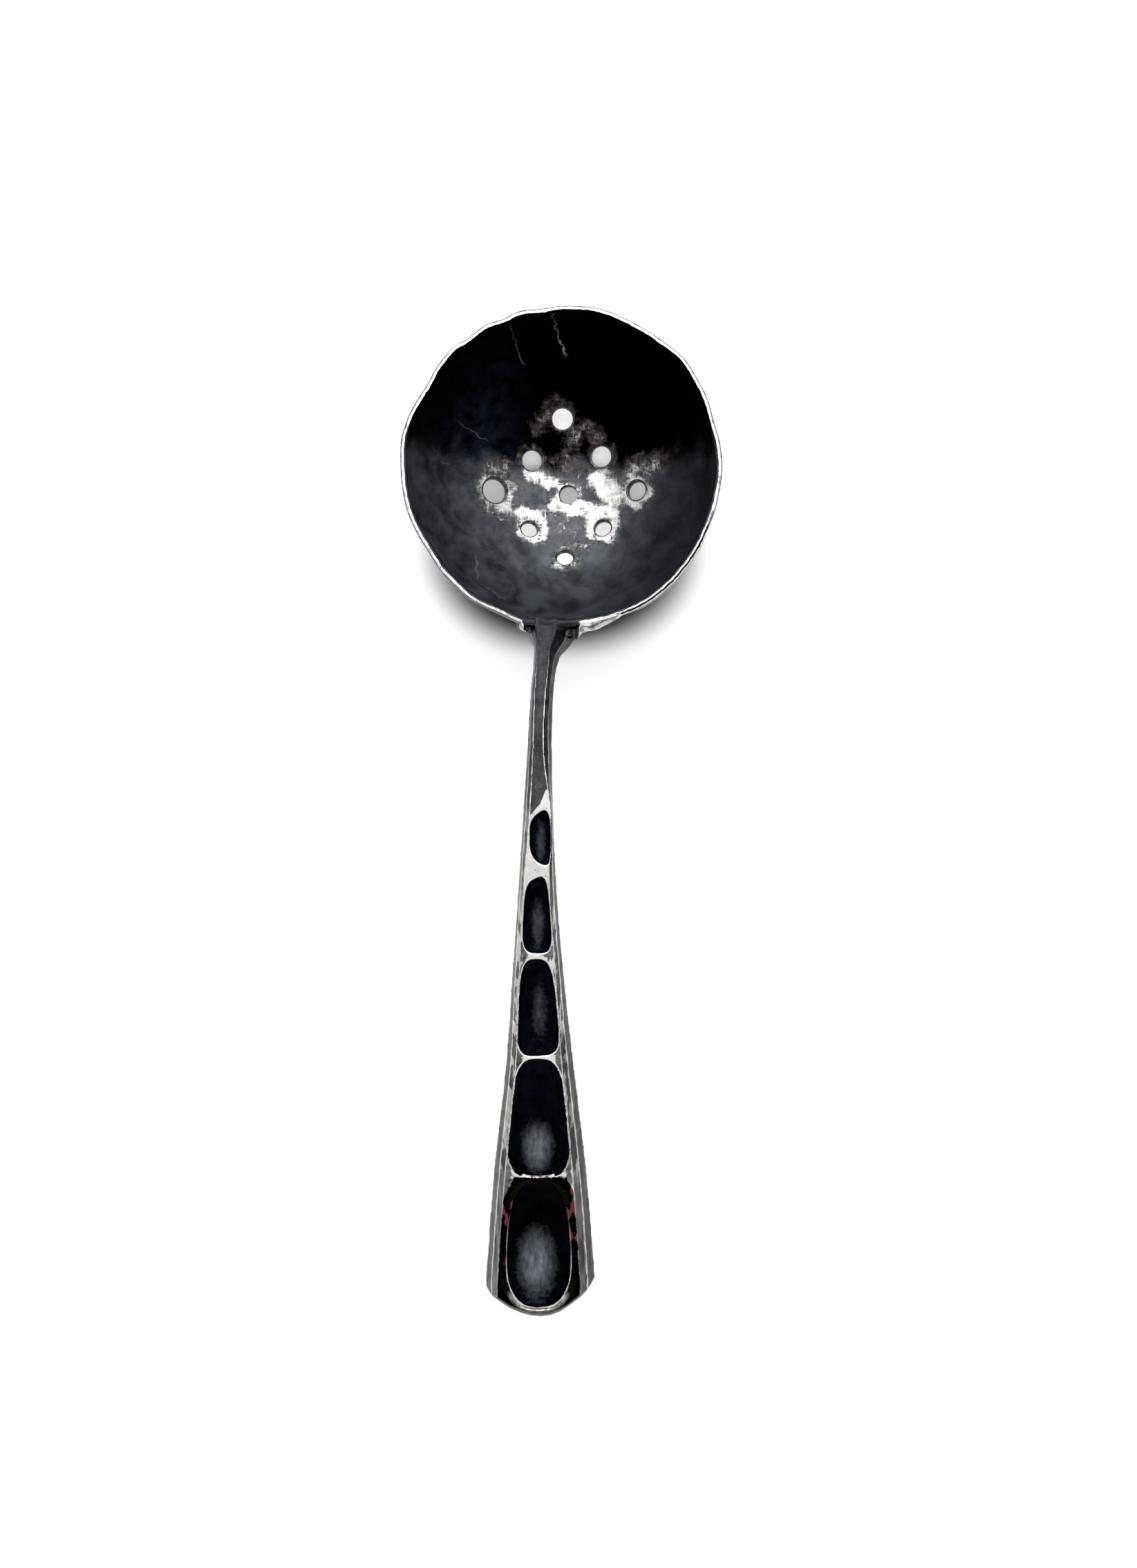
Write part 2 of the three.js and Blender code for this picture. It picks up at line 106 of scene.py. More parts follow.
# %% [markdown]
# ## The camera
# The photograph was taken from straight above, about 25 cm over the bowl's rim, so the perspective is
# strong: the rim hides the wall below it, and the handle's low end looks smaller than it is. A camera
# at the same point with the same lens gives the same view, and no shift is needed.

# %% Camera
CAMERA_AT = (1.5, -67.86, 276)
LENS = 27.05  # on a sensor of 36 mm along the picture's long side
camera = bpy.data.objects.new("camera", bpy.data.cameras.new("camera"))
bpy.context.scene.collection.objects.link(camera)
camera.location = place(*CAMERA_AT)
camera.data.lens = LENS
camera.data.sensor_width = 36
camera.data.clip_start = 0.01
bpy.context.scene.camera = camera
bpy.context.scene.view_settings.view_transform = "Standard"
print("camera at", [round(value, 4) for value in camera.location])

# %% [markdown]
# ## Nodes and colours
# Every material below is a small graph of nodes. The graph that is being filled is always called tree,
# and one helper adds a node to it, with its options by name and its inputs in the order in which they
# stand on the node. An input is a value, a colour or another node. Colours are written as they look on a
# screen, as sRGB hex, and turned into the linear values that a renderer works with.

# %% Helpers for nodes and colours
def linear(hex_colour):
    """Linear red, green, blue and alpha of a colour written as sRGB hex."""
    channels = [int(hex_colour[i:i + 2], 16) / 255 for i in (1, 3, 5)]
    return [c / 12.92 if c <= 0.04045 else ((c + 0.055) / 1.055) ** 2.4 for c in channels] + [1.0]


def fresh(owner):
    """The emptied graph of a material or of the world."""
    owner.use_nodes = True
    owner.node_tree.nodes.clear()
    return owner.node_tree


def with_options(thing, options):
    """Sets the options of something new."""
    for option, value in options.items():
        setattr(thing, option, value)
    return thing


def add(kind, *inputs, named=None, **options):
    """Adds a node to the graph. Inputs come in their order on the node, or by name where few are set."""
    node = with_options(tree.nodes.new("ShaderNode" + kind), options)
    sockets = {socket.identifier: socket for socket in node.inputs if socket.enabled}
    for identifier, value in [*zip(sockets, inputs), *(named or {}).items()]:
        if isinstance(value, bpy.types.Node):
            value = next(output for output in value.outputs if output.enabled)
        if isinstance(value, bpy.types.NodeSocket):
            tree.links.new(value, sockets[identifier])
        else:
            sockets[identifier].default_value = linear(value) if isinstance(value, str) else value
    return node


# %% [markdown]
# ## Light and ground
# Polished metal has little colour of its own: it shows the room. The room here is white, greyer down at
# the horizon, with one dark shape in it: someone who stands at the handle's end and bends over the table
# to look. That shape is what the polished parts at the handle's end show. A few patches on it are dark
# red, like a shirt. The world is white for the camera, an even light for matt surfaces, and this room
# for reflections.

# %% World
HORIZON = 0.4  # brightness level with the table, against 1 overhead
HORIZON_TO = 0.45  # the upward part of a direction at which the room is fully bright
DARK_SHAPE = (-0.63, -0.57, -0.36, -0.3)  # y parts of a direction: it begins, is full from and to, and ends
DARK_SIDES = (0.5, 0.8)  # x parts of a direction over which it ends to both sides
DARK_TONE, RED_TONE = "#0b0809", "#5a1f28"
RED_PATCHES, RED_FROM = 7.0, (0.56, 0.62)  # their scale, and the levels of noise between which they begin
EVEN_LIGHT = 0.72  # brightness of the room for matt surfaces
world = bpy.data.worlds.new("table_room")
bpy.context.scene.world = world
tree = fresh(world)


def maths(operation, first, *others):
    """Works values together from left to right by an operation of the Math node."""
    for other in others or (0.0,):
        first = add("Math", first, other, operation=operation)
    return first


times, plus, minus, largest = (
    partial(maths, operation) for operation in ("MULTIPLY", "ADD", "SUBTRACT", "MAXIMUM"))
ease = partial(add, "MapRange", interpolation_type="SMOOTHSTEP")  # one range to another, with soft ends
blend = partial(add, "Mix", data_type="RGBA")  # a colour where a mask is 0, and another where it is 1


def window(fade, value, begins, full_from, full_to, ends):
    """Mask that begins and ends again along a value, with the same kind of fade at both ends."""
    return times(fade(value, begins, full_from), fade(value, full_to, ends, 1, 0))


ray = add("LightPath").outputs
direction = add("TexCoord").outputs["Generated"]
part = add("SeparateXYZ", direction).outputs
shape = times(window(ease, part["Y"], *DARK_SHAPE), ease(maths("ABSOLUTE", part["X"]), *DARK_SIDES, 1, 0))
patches = add("TexNoise", direction, named={"Scale": RED_PATCHES, "Detail": 3.0}).outputs["Fac"]
tone = blend(shape, "#ffffff", blend(ease(patches, *RED_FROM), DARK_TONE, RED_TONE))
for_matt = add("Background", "#ffffff", EVEN_LIGHT)
for_gloss = add("Background", tone, ease(part["Z"], 0, HORIZON_TO, HORIZON, 1))
for_camera = add("Background", "#ffffff", 1.0)
mixed = add("MixShader", ray["Is Glossy Ray"], for_matt, for_gloss)
add("OutputWorld", add("MixShader", ray["Is Camera Ray"], mixed, for_camera))
print("world:", len(tree.nodes), "nodes")

# %% [markdown]
# One large soft lamp stands beyond the bowl, high over the table. It throws the bowl's shadow towards
# the handle. Large means soft: the shadow's edge fades over several millimetres.

# %% Lamp
LAMP_AT = (0, 420, 560)
LAMP_SIZE = 520
LAMP_POWER = 2.4  # watts
lamp = bpy.data.objects.new("window", bpy.data.lights.new("window", "AREA"))
bpy.context.scene.collection.objects.link(lamp)
lamp.data.size = LAMP_SIZE * MM
lamp.data.energy = LAMP_POWER
lamp.location = Vector(LAMP_AT) * MM
lamp.rotation_euler = (-lamp.location).to_track_quat("-Z", "Y").to_euler()
print("lamp", round(lamp.location.length, 3), "m from the table's middle")

# %% [markdown]
# ## Where the drain holes are
# Nine holes stand in a square on its corner, set out by eye, so each one strays a little. They are
# listed here already, because painted rounds of light fall through them on to the table.

# %% Table of holes
HOLE_PITCH = 11.75  # from one hole to the next, along the square's sides
HOLES_MIDDLE = (0.9, -0.15)
HOLE_TABLE = [  # row, column, stray in x and y, bore
    (1, 1, -0.8, 0.35, 4.75), (0, 1, 0.3, -0.6, 4.65), (1, 0, 0.1, 0.2, 4.7),
    (-1, 1, -0.3, 0.1, 5.6), (0, 0, 0.7, -0.3, 4.2), (1, -1, 0.2, -0.05, 4.3),
    (-1, 0, -0.4, -0.45, 3.75), (0, -1, 0.5, -0.3, 3.85), (-1, -1, -0.2, 0.8, 3.8),
]
HOLES = []  # x and y of the middle, and the bore, of each
diagonal = HOLE_PITCH / math.sqrt(2)
for row, column, stray_x, stray_y, bore in HOLE_TABLE:
    x = HOLES_MIDDLE[0] + (row - column) * diagonal + stray_x
    y = HOLES_MIDDLE[1] + (row + column) * diagonal + stray_y
    HOLES.append((x, y, bore))
print("holes at", [(round(x, 1), round(y, 1)) for x, y, bore in HOLES])

# %% [markdown]
# The table is a plain white board. A photograph of white on white is exposed so that the board burns out
# to clean white, and only the deepest shadow stays. The board gets that white as a light of its own, for
# the camera and for reflections. In an oval on the shadow side, from under the bowl outwards, that light
# fades out and the board's colour is darkened: a painted shadow. Through each hole falls a painted soft
# round of light.

# %% Floor
FLOOR_SIZE = 6000
BOARD_WHITE = 0.5  # the board's own light where nothing shades it
SHADE_AT = (0, -14)  # middle of the shaded oval, from the bowl's axis
SHADE_FROM, SHADE_TO = 17.3, 26.8  # from its middle, along the handle
SHADE_WIDE = 1.35  # how many times wider the oval is than long
# The rounds of light under the holes are painted light: the board glows there as if lit through them.
HOLE_LIGHT = 0.4  # through a hole in the middle
HOLE_LIGHT_RISE = 0.042  # and so much more for each millimetre nearer the handle
HOLE_LIGHT_PAST, HOLE_LIGHT_SOFT = 0.2, 1.8  # beyond the bore: full to here, gone after this
BOARD_IN_METAL = 0.6  # the share of its own light that metal reflects
# BOARD_SHADED is the board's colour in the oval: a painted shadow.
BOARD_SHADED, BOARD_LIT = "#404040", "#ececec"
bpy.ops.mesh.primitive_plane_add(size=FLOOR_SIZE * MM, location=(0, 0, 0))
floor = bpy.context.object
floor.name = "table"
board = bpy.data.materials.new("white_matt_board")
floor.data.materials.append(board)
tree = fresh(board)


def distance_from(x, y, wide=1.0):
    """How far a point of the ground is from a place, in millimetres. In a wide oval x counts less."""
    middle = place(x, y, 0)
    squeezed = add("Mapping", add("TexCoord").outputs["Object"], named={"Scale": (1 / wide, 1, 1)})
    away = add("VectorMath", squeezed, (middle.x / wide, middle.y, 0), operation="DISTANCE")
    return maths("DIVIDE", away, MM)


ray = add("LightPath").outputs
# The shaded oval and the rounds under the holes are painted shadow and painted light on the board.
lit = ease(distance_from(*SHADE_AT, SHADE_WIDE), SHADE_FROM, SHADE_TO)
own = times(lit, BOARD_WHITE)
for x, y, bore in HOLES:
    reach = bore / 2 + HOLE_LIGHT_PAST
    light = max(HOLE_LIGHT - HOLE_LIGHT_RISE * y, 0)
    own = largest(own, ease(distance_from(x, y), reach, reach + HOLE_LIGHT_SOFT, light, 0))
reaching = plus(times(ray["Is Glossy Ray"], BOARD_IN_METAL), ray["Is Camera Ray"])
matt = add("BsdfDiffuse", blend(lit, BOARD_SHADED, BOARD_LIT))
glow = add("Emission", "#ffffff", times(own, reaching))
add("OutputMaterial", add("AddShader", matt, glow))
print("table:", FLOOR_SIZE, "mm wide")

# %% [markdown]
# ## How the pieces are handled
# A modelling operator acts on whatever is selected, so each step first lets go of everything and then
# takes hold of one object. Inside edit mode, faces are picked by a test of their middle and their normal,
# as a modeller would pick them by eye.

# %% Helpers for pieces
def hold(piece):
    """Makes one object the selected and the active one."""
    bpy.ops.object.select_all(action="DESELECT")
    piece.select_set(True)
    bpy.context.view_layer.objects.active = piece


def edit_faces(piece, wanted):
    """Opens a piece in edit mode, with only those faces selected whose middle and normal pass the test."""
    hold(piece)
    bpy.ops.object.mode_set(mode="EDIT")
    bpy.ops.mesh.select_mode(type="FACE")
    bpy.ops.mesh.select_all(action="DESELECT")
    edited = bmesh.from_edit_mesh(piece.data)
    count = 0
    for face in edited.faces:
        if wanted(face.calc_center_median(), face.normal):
            face.select_set(True)
            count += 1
    bmesh.update_edit_mesh(piece.data)
    return count


def edit_all(piece):
    """Opens a piece in edit mode with all of it selected."""
    hold(piece)
    bpy.ops.object.mode_set(mode="EDIT")
    bpy.ops.mesh.select_all(action="SELECT")


def leave_edit():
    """Closes edit mode again."""
    bpy.ops.object.mode_set(mode="OBJECT")


def modify(piece, kind, **settings):
    """Adds a modifier with its settings and applies it at once."""
    hold(piece)
    modifier = with_options(piece.modifiers.new(kind.lower(), kind), settings)
    bpy.ops.object.modifier_apply(modifier=modifier.name)


def points_of(piece):
    """The piece's points in millimetres from the foot of the bowl's axis, one row each."""
    points = np.empty(len(piece.data.vertices) * 3, np.float32)
    piece.data.vertices.foreach_get("co", points)
    return points.reshape(-1, 3).astype(float) / MM - (AXIS_X, AXIS_Y, 0)


def skin_of(piece):
    """A piece's points, the corners of its faces, and a tree to search these by place, as they are now."""
    points = [vertex.co.copy() for vertex in piece.data.vertices]
    corners = [tuple(face.vertices) for face in piece.data.polygons]
    return points, corners, BVHTree.FromPolygons(points, corners)


def mark(piece, name, values):
    """Writes a value for each point of a piece, for its material to read by name."""
    attribute = piece.data.attributes.new(name, "FLOAT", "POINT")
    attribute.data.foreach_set("value", np.asarray(values, np.float32))


def weigh(piece, weights):
    """A vertex group with a weight for each point, for a modifier to read by name."""
    group = piece.vertex_groups.new(name="weights")
    for index, weight in enumerate(weights):
        if weight > 1e-4:
            group.add([index], float(weight), "REPLACE")
    return group.name


def push(piece, millimetres, weights=None, **settings):
    """Moves the points by a Displace modifier, each by its weight of so many millimetres."""
    if weights is not None:
        settings["vertex_group"] = weigh(piece, weights)
    modify(piece, "DISPLACE", **{"strength": millimetres * MM, "mid_level": 0, **settings})
    piece.vertex_groups.clear()


def relief(name, kind, width, **settings):
    """Settings for a push by a pattern, with features so many millimetres wide."""
    pattern = with_options(bpy.data.textures.new(name, kind), {"noise_scale": width * MM, **settings})
    return {"texture": pattern, "texture_coords": "LOCAL"}


# %% [markdown]
# ## The bowl
# A silversmith raises such a bowl from a flat disc: it is beaten over a stake, row by row, and a last
# light beating leaves small flats all over. Its form is half an ellipsoid. It could be turned from a
# profile, but a sphere whose upper half is cut off gives the same form with an even mesh, and the
# hammer's marks need an even mesh to sink into.

# %% The bowl's plain form
BOWL_RADIUS = 34.4
BOWL_DEPTH = 25
BOWL_WALL = 1.4
FOOT_RADIUS = 6.5  # the small flat that the bowl stands on
FOOT_DEPTH = BOWL_DEPTH / math.sqrt(1 - (FOOT_RADIUS / BOWL_RADIUS) ** 2)
BOWL_AROUND, BOWL_ROWS = 180, 120  # faces round the sphere, and rows of them from pole to pole
rim_middle = place(0, 0, BOWL_DEPTH)
bpy.ops.object.select_all(action="DESELECT")
bpy.ops.mesh.primitive_uv_sphere_add(
    segments=BOWL_AROUND, ring_count=BOWL_ROWS, radius=BOWL_RADIUS * MM, location=rim_middle)
bowl = bpy.context.object
bowl.name = "hammered_bowl"
bpy.ops.object.transform_apply(location=True, rotation=False, scale=False)
edit_all(bowl)
bpy.ops.mesh.bisect(plane_co=rim_middle, plane_no=(0, 0, 1), clear_outer=True)
bpy.ops.mesh.select_all(action="SELECT")
bpy.ops.transform.resize(value=(1, 1, FOOT_DEPTH / BOWL_RADIUS), center_override=rim_middle)
bpy.ops.mesh.select_all(action="SELECT")
bpy.ops.mesh.bisect(plane_co=place(0, 0, 0), plane_no=(0, 0, 1), clear_inner=True)
bpy.ops.mesh.edge_face_add()  # one face on the cut's edges, which are still selected
leave_edit()
print("bowl:", len(bowl.data.polygons), "faces, z from", round(points_of(bowl)[:, 2].min(), 3))

# %% [markdown]
# The flat under the bowl is one large face so far. Insetting it a few times gives it rings of points,
# so that it can carry the same marks as the wall.

# %% Rings in the foot
FOOT_RINGS = 5
ON_TABLE = 0.01  # a face whose middle is lower lies on the table
edit_faces(bowl, lambda middle, normal: middle.z < ON_TABLE * MM and abs(normal.z) > 0.999)
for ring in range(FOOT_RINGS):
    bpy.ops.mesh.inset(thickness=FOOT_RADIUS / (FOOT_RINGS + 1) * MM)
leave_edit()
downward = [face for face in bowl.data.polygons if face.center.z < ON_TABLE * MM]
print("foot:", len(downward), "faces, pointing", {round(face.normal.z) for face in downward})

# %% [markdown]
# ## Hammer marks
# A few hard blows moved the rim in or out, most of them at the upper left, where it looks notched. To
# the right of the handle the rim was driven in, so that the wall swells out a little under it. Each blow
# fades to both sides of its angle. The blows are added up, and two Displace modifiers push the sheet
# along its normals, one where it moves out and one where it moves in.

# %% Blows at the rim
RIM_BLOWS = [  # angle, degrees that it reaches to each side, and move outwards in millimetres
    (16, 5, -0.35), (41, 9, 0.45), (75, 6, 0.3), (97, 5, -0.5), (111, 4, -0.6), (126, 4, -0.5),
    (149, 8, -0.75), (170, 6, 0.5), (211, 7, -0.35), (235, 6, 0.35), (255, 5, 0.6), (305, 7, 0.25),
    (336, 10, -0.15),
]
SWELL_AT, SWELL_REACH, SWELL_MOVE = -45, 22, 0.6  # the same three for the swell
SWELL_BELOW_RIM, SWELL_HEIGHT = 3.2, 2.6  # how far below the rim, and how far it reaches up and down


def felt(angles, at, reach):
    """How strongly a blow is felt at each angle: 1 where it struck, fading to both sides."""
    away = (angles - at + 180) % 360 - 180
    return np.exp(-(away / reach) ** 2)


points = points_of(bowl)
angles = np.degrees(np.arctan2(points[:, 1], points[:, 0]))
up = np.clip(points[:, 2] / BOWL_DEPTH, 0, 1)
move = sum(blow * felt(angles, at, reach) for at, reach, blow in RIM_BLOWS) * up ** 2
from_swell = (BOWL_DEPTH - SWELL_BELOW_RIM - points[:, 2]) / SWELL_HEIGHT
move += SWELL_MOVE * felt(angles, SWELL_AT, SWELL_REACH) * np.exp(-from_swell ** 2)
farthest = abs(move).max()
for way in (1, -1):
    push(bowl, way * farthest, np.clip(way * move, 0, None) / farthest)
print(f"rim moved {move.min():.2f} to {move.max():.2f} mm")

# %% [markdown]
# The light beating all over is a cell pattern: inside each cell the distance from its middle grows from
# nothing to its edge, which is just how a round hammer face leaves a shallow dish beside the next one.
# It fades out at the foot, so that the bowl still stands flat.

# %% Small flats all over
PLANISH_WIDTH, PLANISH_DEPTH = 6.5, 0.3  # of a hammer's dish
PLANISH_LEVEL = 0.8  # the share of the depth that goes inwards
BEATEN_FROM, BEATEN_OVER = 0.2, 4  # z where it begins, and the height over which it comes to full depth
dishes = relief("hammer_dishes", "VORONOI", PLANISH_WIDTH, distance_metric="DISTANCE_SQUARED")
off_foot = np.clip((points_of(bowl)[:, 2] - BEATEN_FROM) / BEATEN_OVER, 0, 1)
push(bowl, PLANISH_DEPTH, off_foot, mid_level=PLANISH_LEVEL, **dishes)
print("beaten from z", round(points_of(bowl)[:, 2].min(), 3), "to", round(points_of(bowl)[:, 2].max(), 3))

# %% [markdown]
# ## The wall
# So far the bowl is a skin without thickness. Solidify adds the inside, 1.4 mm in, and closes the rim.
# It can also give each of its parts a material of its own, so four are made first: for the outside, the
# inside, the rim, and the walls of the holes. A small bevel rubs the rim's two corners round. The outer
# skin is remembered, because the rim's finish will change with the depth behind it.

# %% Wall and rim
FINISHES = ["gunmetal_sheet_hammered", "blackened_sheet_scoured", "white_metal_rim_polished",
            "drilled_walls_greyed"]
OUTSIDE, INSIDE, RIM, HOLE_WALLS = range(4)
RIM_ROUND = 0.45  # width of the bevel
for finish in FINISHES:
    bowl.data.materials.append(bpy.data.materials.new(finish))
outer_skin = skin_of(bowl)[2]
modify(bowl, "SOLIDIFY", thickness=BOWL_WALL * MM, offset=-1, use_even_offset=True, use_rim=True,
       material_offset=INSIDE, material_offset_rim=RIM)
modify(bowl, "BEVEL", width=RIM_ROUND * MM, segments=4, limit_method="ANGLE",
       angle_limit=math.radians(60), material=RIM)
slots = [face.material_index for face in bowl.data.polygons]
print("faces by finish:", {finish: slots.count(i) for i, finish in enumerate(FINISHES)})

# %% [markdown]
# ## The drain holes
# The smith drilled the nine holes square to the wall and rubbed their inner mouths with a burnisher,
# which leaves a rounded lip. Each drill here is a cylinder whose end flares out in four steps of a
# quarter circle.

# %% One drill for each hole
HOLE_AROUND = 48  # sides of a drill
LIP, LIP_STEPS = 0.26, 4  # radius of the rounded lip, and how many steps make it
DRILL_PAST = 1.5  # how far a drill reaches past the wall on both sides
DRILL_FLARE = 1  # how much wider it is there, little enough for the drills to stay clear of each other


def drill(x, y, bore):
    """A drill that stands square to the wall, from outside the skin to its flared end past the inside."""
    below = math.sqrt(1 - (x * x + y * y) / BOWL_RADIUS ** 2) * FOOT_DEPTH
    inwards = Vector((-x / BOWL_RADIUS ** 2, -y / BOWL_RADIUS ** 2, below / FOOT_DEPTH ** 2)).normalized()
    skin = place(x, y, max(0, BOWL_DEPTH - below))
    length = DRILL_PAST + BOWL_WALL - LIP
    bpy.ops.object.select_all(action="DESELECT")
    bpy.ops.mesh.primitive_cylinder_add(
        vertices=HOLE_AROUND, radius=bore / 2 * MM, depth=length * MM,
        location=skin + inwards * (length / 2 - DRILL_PAST) * MM,
        rotation=inwards.to_track_quat("Z", "Y").to_euler())
    bit = bpy.context.object
    bpy.ops.object.transform_apply(location=True, rotation=True, scale=False)
    end = skin + inwards * (BOWL_WALL - LIP) * MM
    edit_faces(bit, lambda middle, normal: normal.dot(inwards) > 0.99)
    rings = []
    for step in range(1, LIP_STEPS + 1):
        turn = math.pi / 2 * step / LIP_STEPS
        rings.append((LIP * math.sin(turn), LIP * (1 - math.cos(turn))))
    rings.append((LIP + DRILL_PAST, LIP + DRILL_FLARE))
    high, wide = 0, 0
    for height, flare in rings:
        bpy.ops.mesh.extrude_region_move(
            TRANSFORM_OT_translate={"value": inwards * (height - high) * MM})
        grow = (bore / 2 + flare) / (bore / 2 + wide)
        bpy.ops.transform.resize(value=(grow, grow, grow), center_override=end + inwards * height * MM)
        high, wide = height, flare
    leave_edit()
    return bit


bits = [drill(*hole) for hole in HOLES]
for finish in FINISHES:
    bits[0].data.materials.append(bpy.data.materials[finish])
hold(bits[0])
for bit in bits[1:]:
    bit.select_set(True)
bpy.ops.object.join()
drills = bpy.context.object
for face in drills.data.polygons:
    face.material_index = HOLE_WALLS
print("drills:", len(drills.data.polygons), "faces")

# %% [markdown]
# One Boolean takes all nine drills out of the wall together. The exact solver is slower than the fast
# one, and it keeps the thin lips clean.

# %% Drill the holes
modify(bowl, "BOOLEAN", object=drills, operation="DIFFERENCE", solver="EXACT", material_mode="TRANSFER")
bpy.data.objects.remove(drills)
bpy.ops.object.shade_smooth_by_angle(angle=math.radians(40))
slots = [face.material_index for face in bowl.data.polygons]
names = [material.name for material in bowl.data.materials]
print("materials:", names, [slots.count(i) for i in range(len(names))])

# %% [markdown]
# ## Where the bowl is rubbed bright
# Someone scoured the inside after it was darkened, and most of all round the holes. Each wipe is listed
# from one place to another, with its reach to both sides and how hard it was, and each hole has a
# ring of its own. The hardest wipe at each point is painted on the mesh, and the material breaks these
# soft strokes up into scratches and patches. The depth behind the outer skin is painted too. The flat
# inside the foot is smoothed first, because no hammer leaves a sharp ring there.

# %% Smooth the inner foot, paint the wipes
WIPES = [  # from x, y to x, y, reach, strength
    (-1.5, -2.5, 11.5, -4.8, 2.0, 1), (8.8, 3, 12, -1.5, 2.7, 1), (-7.4, 4.3, -2.6, 2.4, 1.7, 0.95),
    (6.8, -6.5, 6.8, -10, 1.4, 0.9), (11.8, -5.5, 11.2, -11, 1.6, 0.95), (-10, -4.7, -5.2, -5.8, 1.6, 0.9),
    (-4.4, -7, -4.2, -10.3, 1.4, 0.85), (-9.2, -10.9, -6, -11.4, 1.2, 0.75),
    (-16.6, 3.8, -13.5, 5.2, 2.2, 0.62), (-12, 1.4, -12.6, -3.5, 1.4, 0.85),
    (-12.8, -4, -16, -4.6, 1.5, 0.8), (-19.2, 0.8, -18.6, -3, 1.2, 0.55), (-13.6, -6, -9, -8.5, 1.5, 0.6),
    (15, -1.2, 17.4, -3.9, 1.4, 1), (15.4, 2.6, 20.5, 5.6, 2.7, 0.58), (-1, -13.4, 5.8, -12.9, 1.5, 0.58),
    (3.8, -14, 3.4, -17.4, 1.4, 0.5), (-1.6, -17.8, 2, -19.5, 1.2, 0.45),
    (-9.5, 0, -4, -2.5, 4.5, 0.36), (0, -8, 4, -9, 4.5, 0.4), (1, 5, 7, 2, 4, 0.4),
    (-4, -2, 7, -3, 8, 0.38), (-5.5, 14.6, -2, 19, 1.9, 0.46), (2.9, 13, 1.8, 8.5, 2.0, 0.58),
    (5.5, 14.6, 8.8, 12, 1.8, 0.5),
]
WIPE_SOFT = 1.3  # how far a wipe fades out beyond its reach
RING_REACH = 1.4  # of the rubbed ring round each hole
RING_STRENGTHS = ([-16, -10, 1, 8], [0.6, 0.8, 0.82, 0.42])  # places in y, and the ring's strength there
INNER_FLOOR = 10  # reach of the smoothing from the axis
across = points_of(bowl)[:, :2]
inner = [face.vertices for face in bowl.data.polygons if face.material_index == INSIDE]
on_inside = np.zeros(len(across))
on_inside[np.unique(np.concatenate([list(corners) for corners in inner]))] = 1
group = weigh(bowl, on_inside * np.clip(INNER_FLOOR - np.hypot(*across.T), 0, 1))
modify(bowl, "SMOOTH", factor=0.5, iterations=60, use_x=False, use_y=False, vertex_group=group)
bowl.vertex_groups.clear()
rubbed = np.zeros(len(across))
for x0, y0, x1, y1, reach, strength in WIPES:
    stroke = np.array((x1 - x0, y1 - y0))
    from_start = across - (x0, y0)
    share = np.clip(from_start @ stroke / (stroke @ stroke), 0, 1)
    away = np.hypot(*(from_start - np.outer(share, stroke)).T) / reach
    rubbed = np.maximum(rubbed, strength * np.exp(-(away / WIPE_SOFT) ** 3))
for x, y, bore in HOLES:
    away = np.maximum(np.hypot(*(across - (x, y)).T) - bore / 2, 0) / RING_REACH
    rubbed = np.maximum(rubbed, np.interp(y, *RING_STRENGTHS) * np.exp(-away ** 3))
mark(bowl, "rubbed", rubbed)
mark(bowl, "from_skin", [outer_skin.find_nearest(vertex.co)[3] / MM for vertex in bowl.data.vertices])
print("rubbed points:", int((rubbed > 0.4).sum()), "of", len(rubbed))

# %% [markdown]
# ## The handle
# The handle was cast and then filed, carved and polished by hand, so no line on it is quite straight. The
# frame already holds its form as flat facets. A copy of that solid is remeshed into small even squares,
# which softens every facet edge a little, as a file and a buff do, and then it can take fine marks.

# %% Copy the frame's handle
def copy_of(node, name):
    """A merged copy of a CAD node, free of the frame, to work on."""
    piece = frame["nodes"][node].copy()
    piece.data = piece.data.copy()
    piece.name = name
    piece.parent = None
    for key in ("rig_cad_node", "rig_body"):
        del piece[key]
    piece.data.materials.clear()
    bpy.context.scene.collection.objects.link(piece)
    edit_all(piece)
    bpy.ops.mesh.remove_doubles(threshold=0.002 * MM)
    leave_edit()
    return piece


handle = copy_of("handle", "cast_handle")
facet_points, facet_corners, facets = skin_of(handle)
facet_normals = np.array([face.normal for face in handle.data.polygons])
facet_middles = np.array([face.center for face in handle.data.polygons]) / MM - (AXIS_X, AXIS_Y, 0)
print("handle:", len(facet_corners), "facets")

# %% [markdown]
# The root stops just short of the bowl in the frame, which leaves room for the solder. On the real one
# the darkened stem runs over the rim and meets the bowl's inside. So the root's end is pulled on by the
# gap and the wall's thickness before the remesh, and after it the top edge is drawn a little further.

# %% Pull the root over the rim
ROOT_GAP = 0.3
ROOT_PULL = ROOT_GAP + BOWL_WALL - 0.1  # to a tenth short of the bowl's inside
ROOT_END = 3  # faces this near to the bowl's outside, and turned to it, are the root's end
ROOT_LAP = 0.4  # how much further its top edge reaches
ROOT_LAP_FROM = 24.3  # above this height
VOXEL = 0.24  # side of the small squares
root_faces = edit_faces(handle, lambda middle, normal: (
    normal.y > 0.5 and middle.y > place(0, -BOWL_RADIUS - ROOT_END, 0).y))
bpy.ops.transform.translate(value=(0, ROOT_PULL * MM, 0))
leave_edit()
modify(handle, "REMESH", mode="VOXEL", voxel_size=VOXEL * MM, use_smooth_shade=True)
modify(handle, "SMOOTH", factor=0.5, iterations=2)
points = points_of(handle)
at_end = np.clip(points[:, 1] + BOWL_RADIUS, 0, 1) * np.clip((points[:, 2] - ROOT_LAP_FROM) * 2, 0, 1)
push(handle, ROOT_LAP, at_end, direction="Y")
print("root faces:", root_faces, "remeshed:", len(handle.data.polygons), "faces")

# %% [markdown]
# A soft, shallow unevenness is what tells handwork from a machined part: reflections waver along the
# polished ridges. A cloud texture moves the skin by a tenth of a millimetre. The flat that lies on the
# table is left alone.

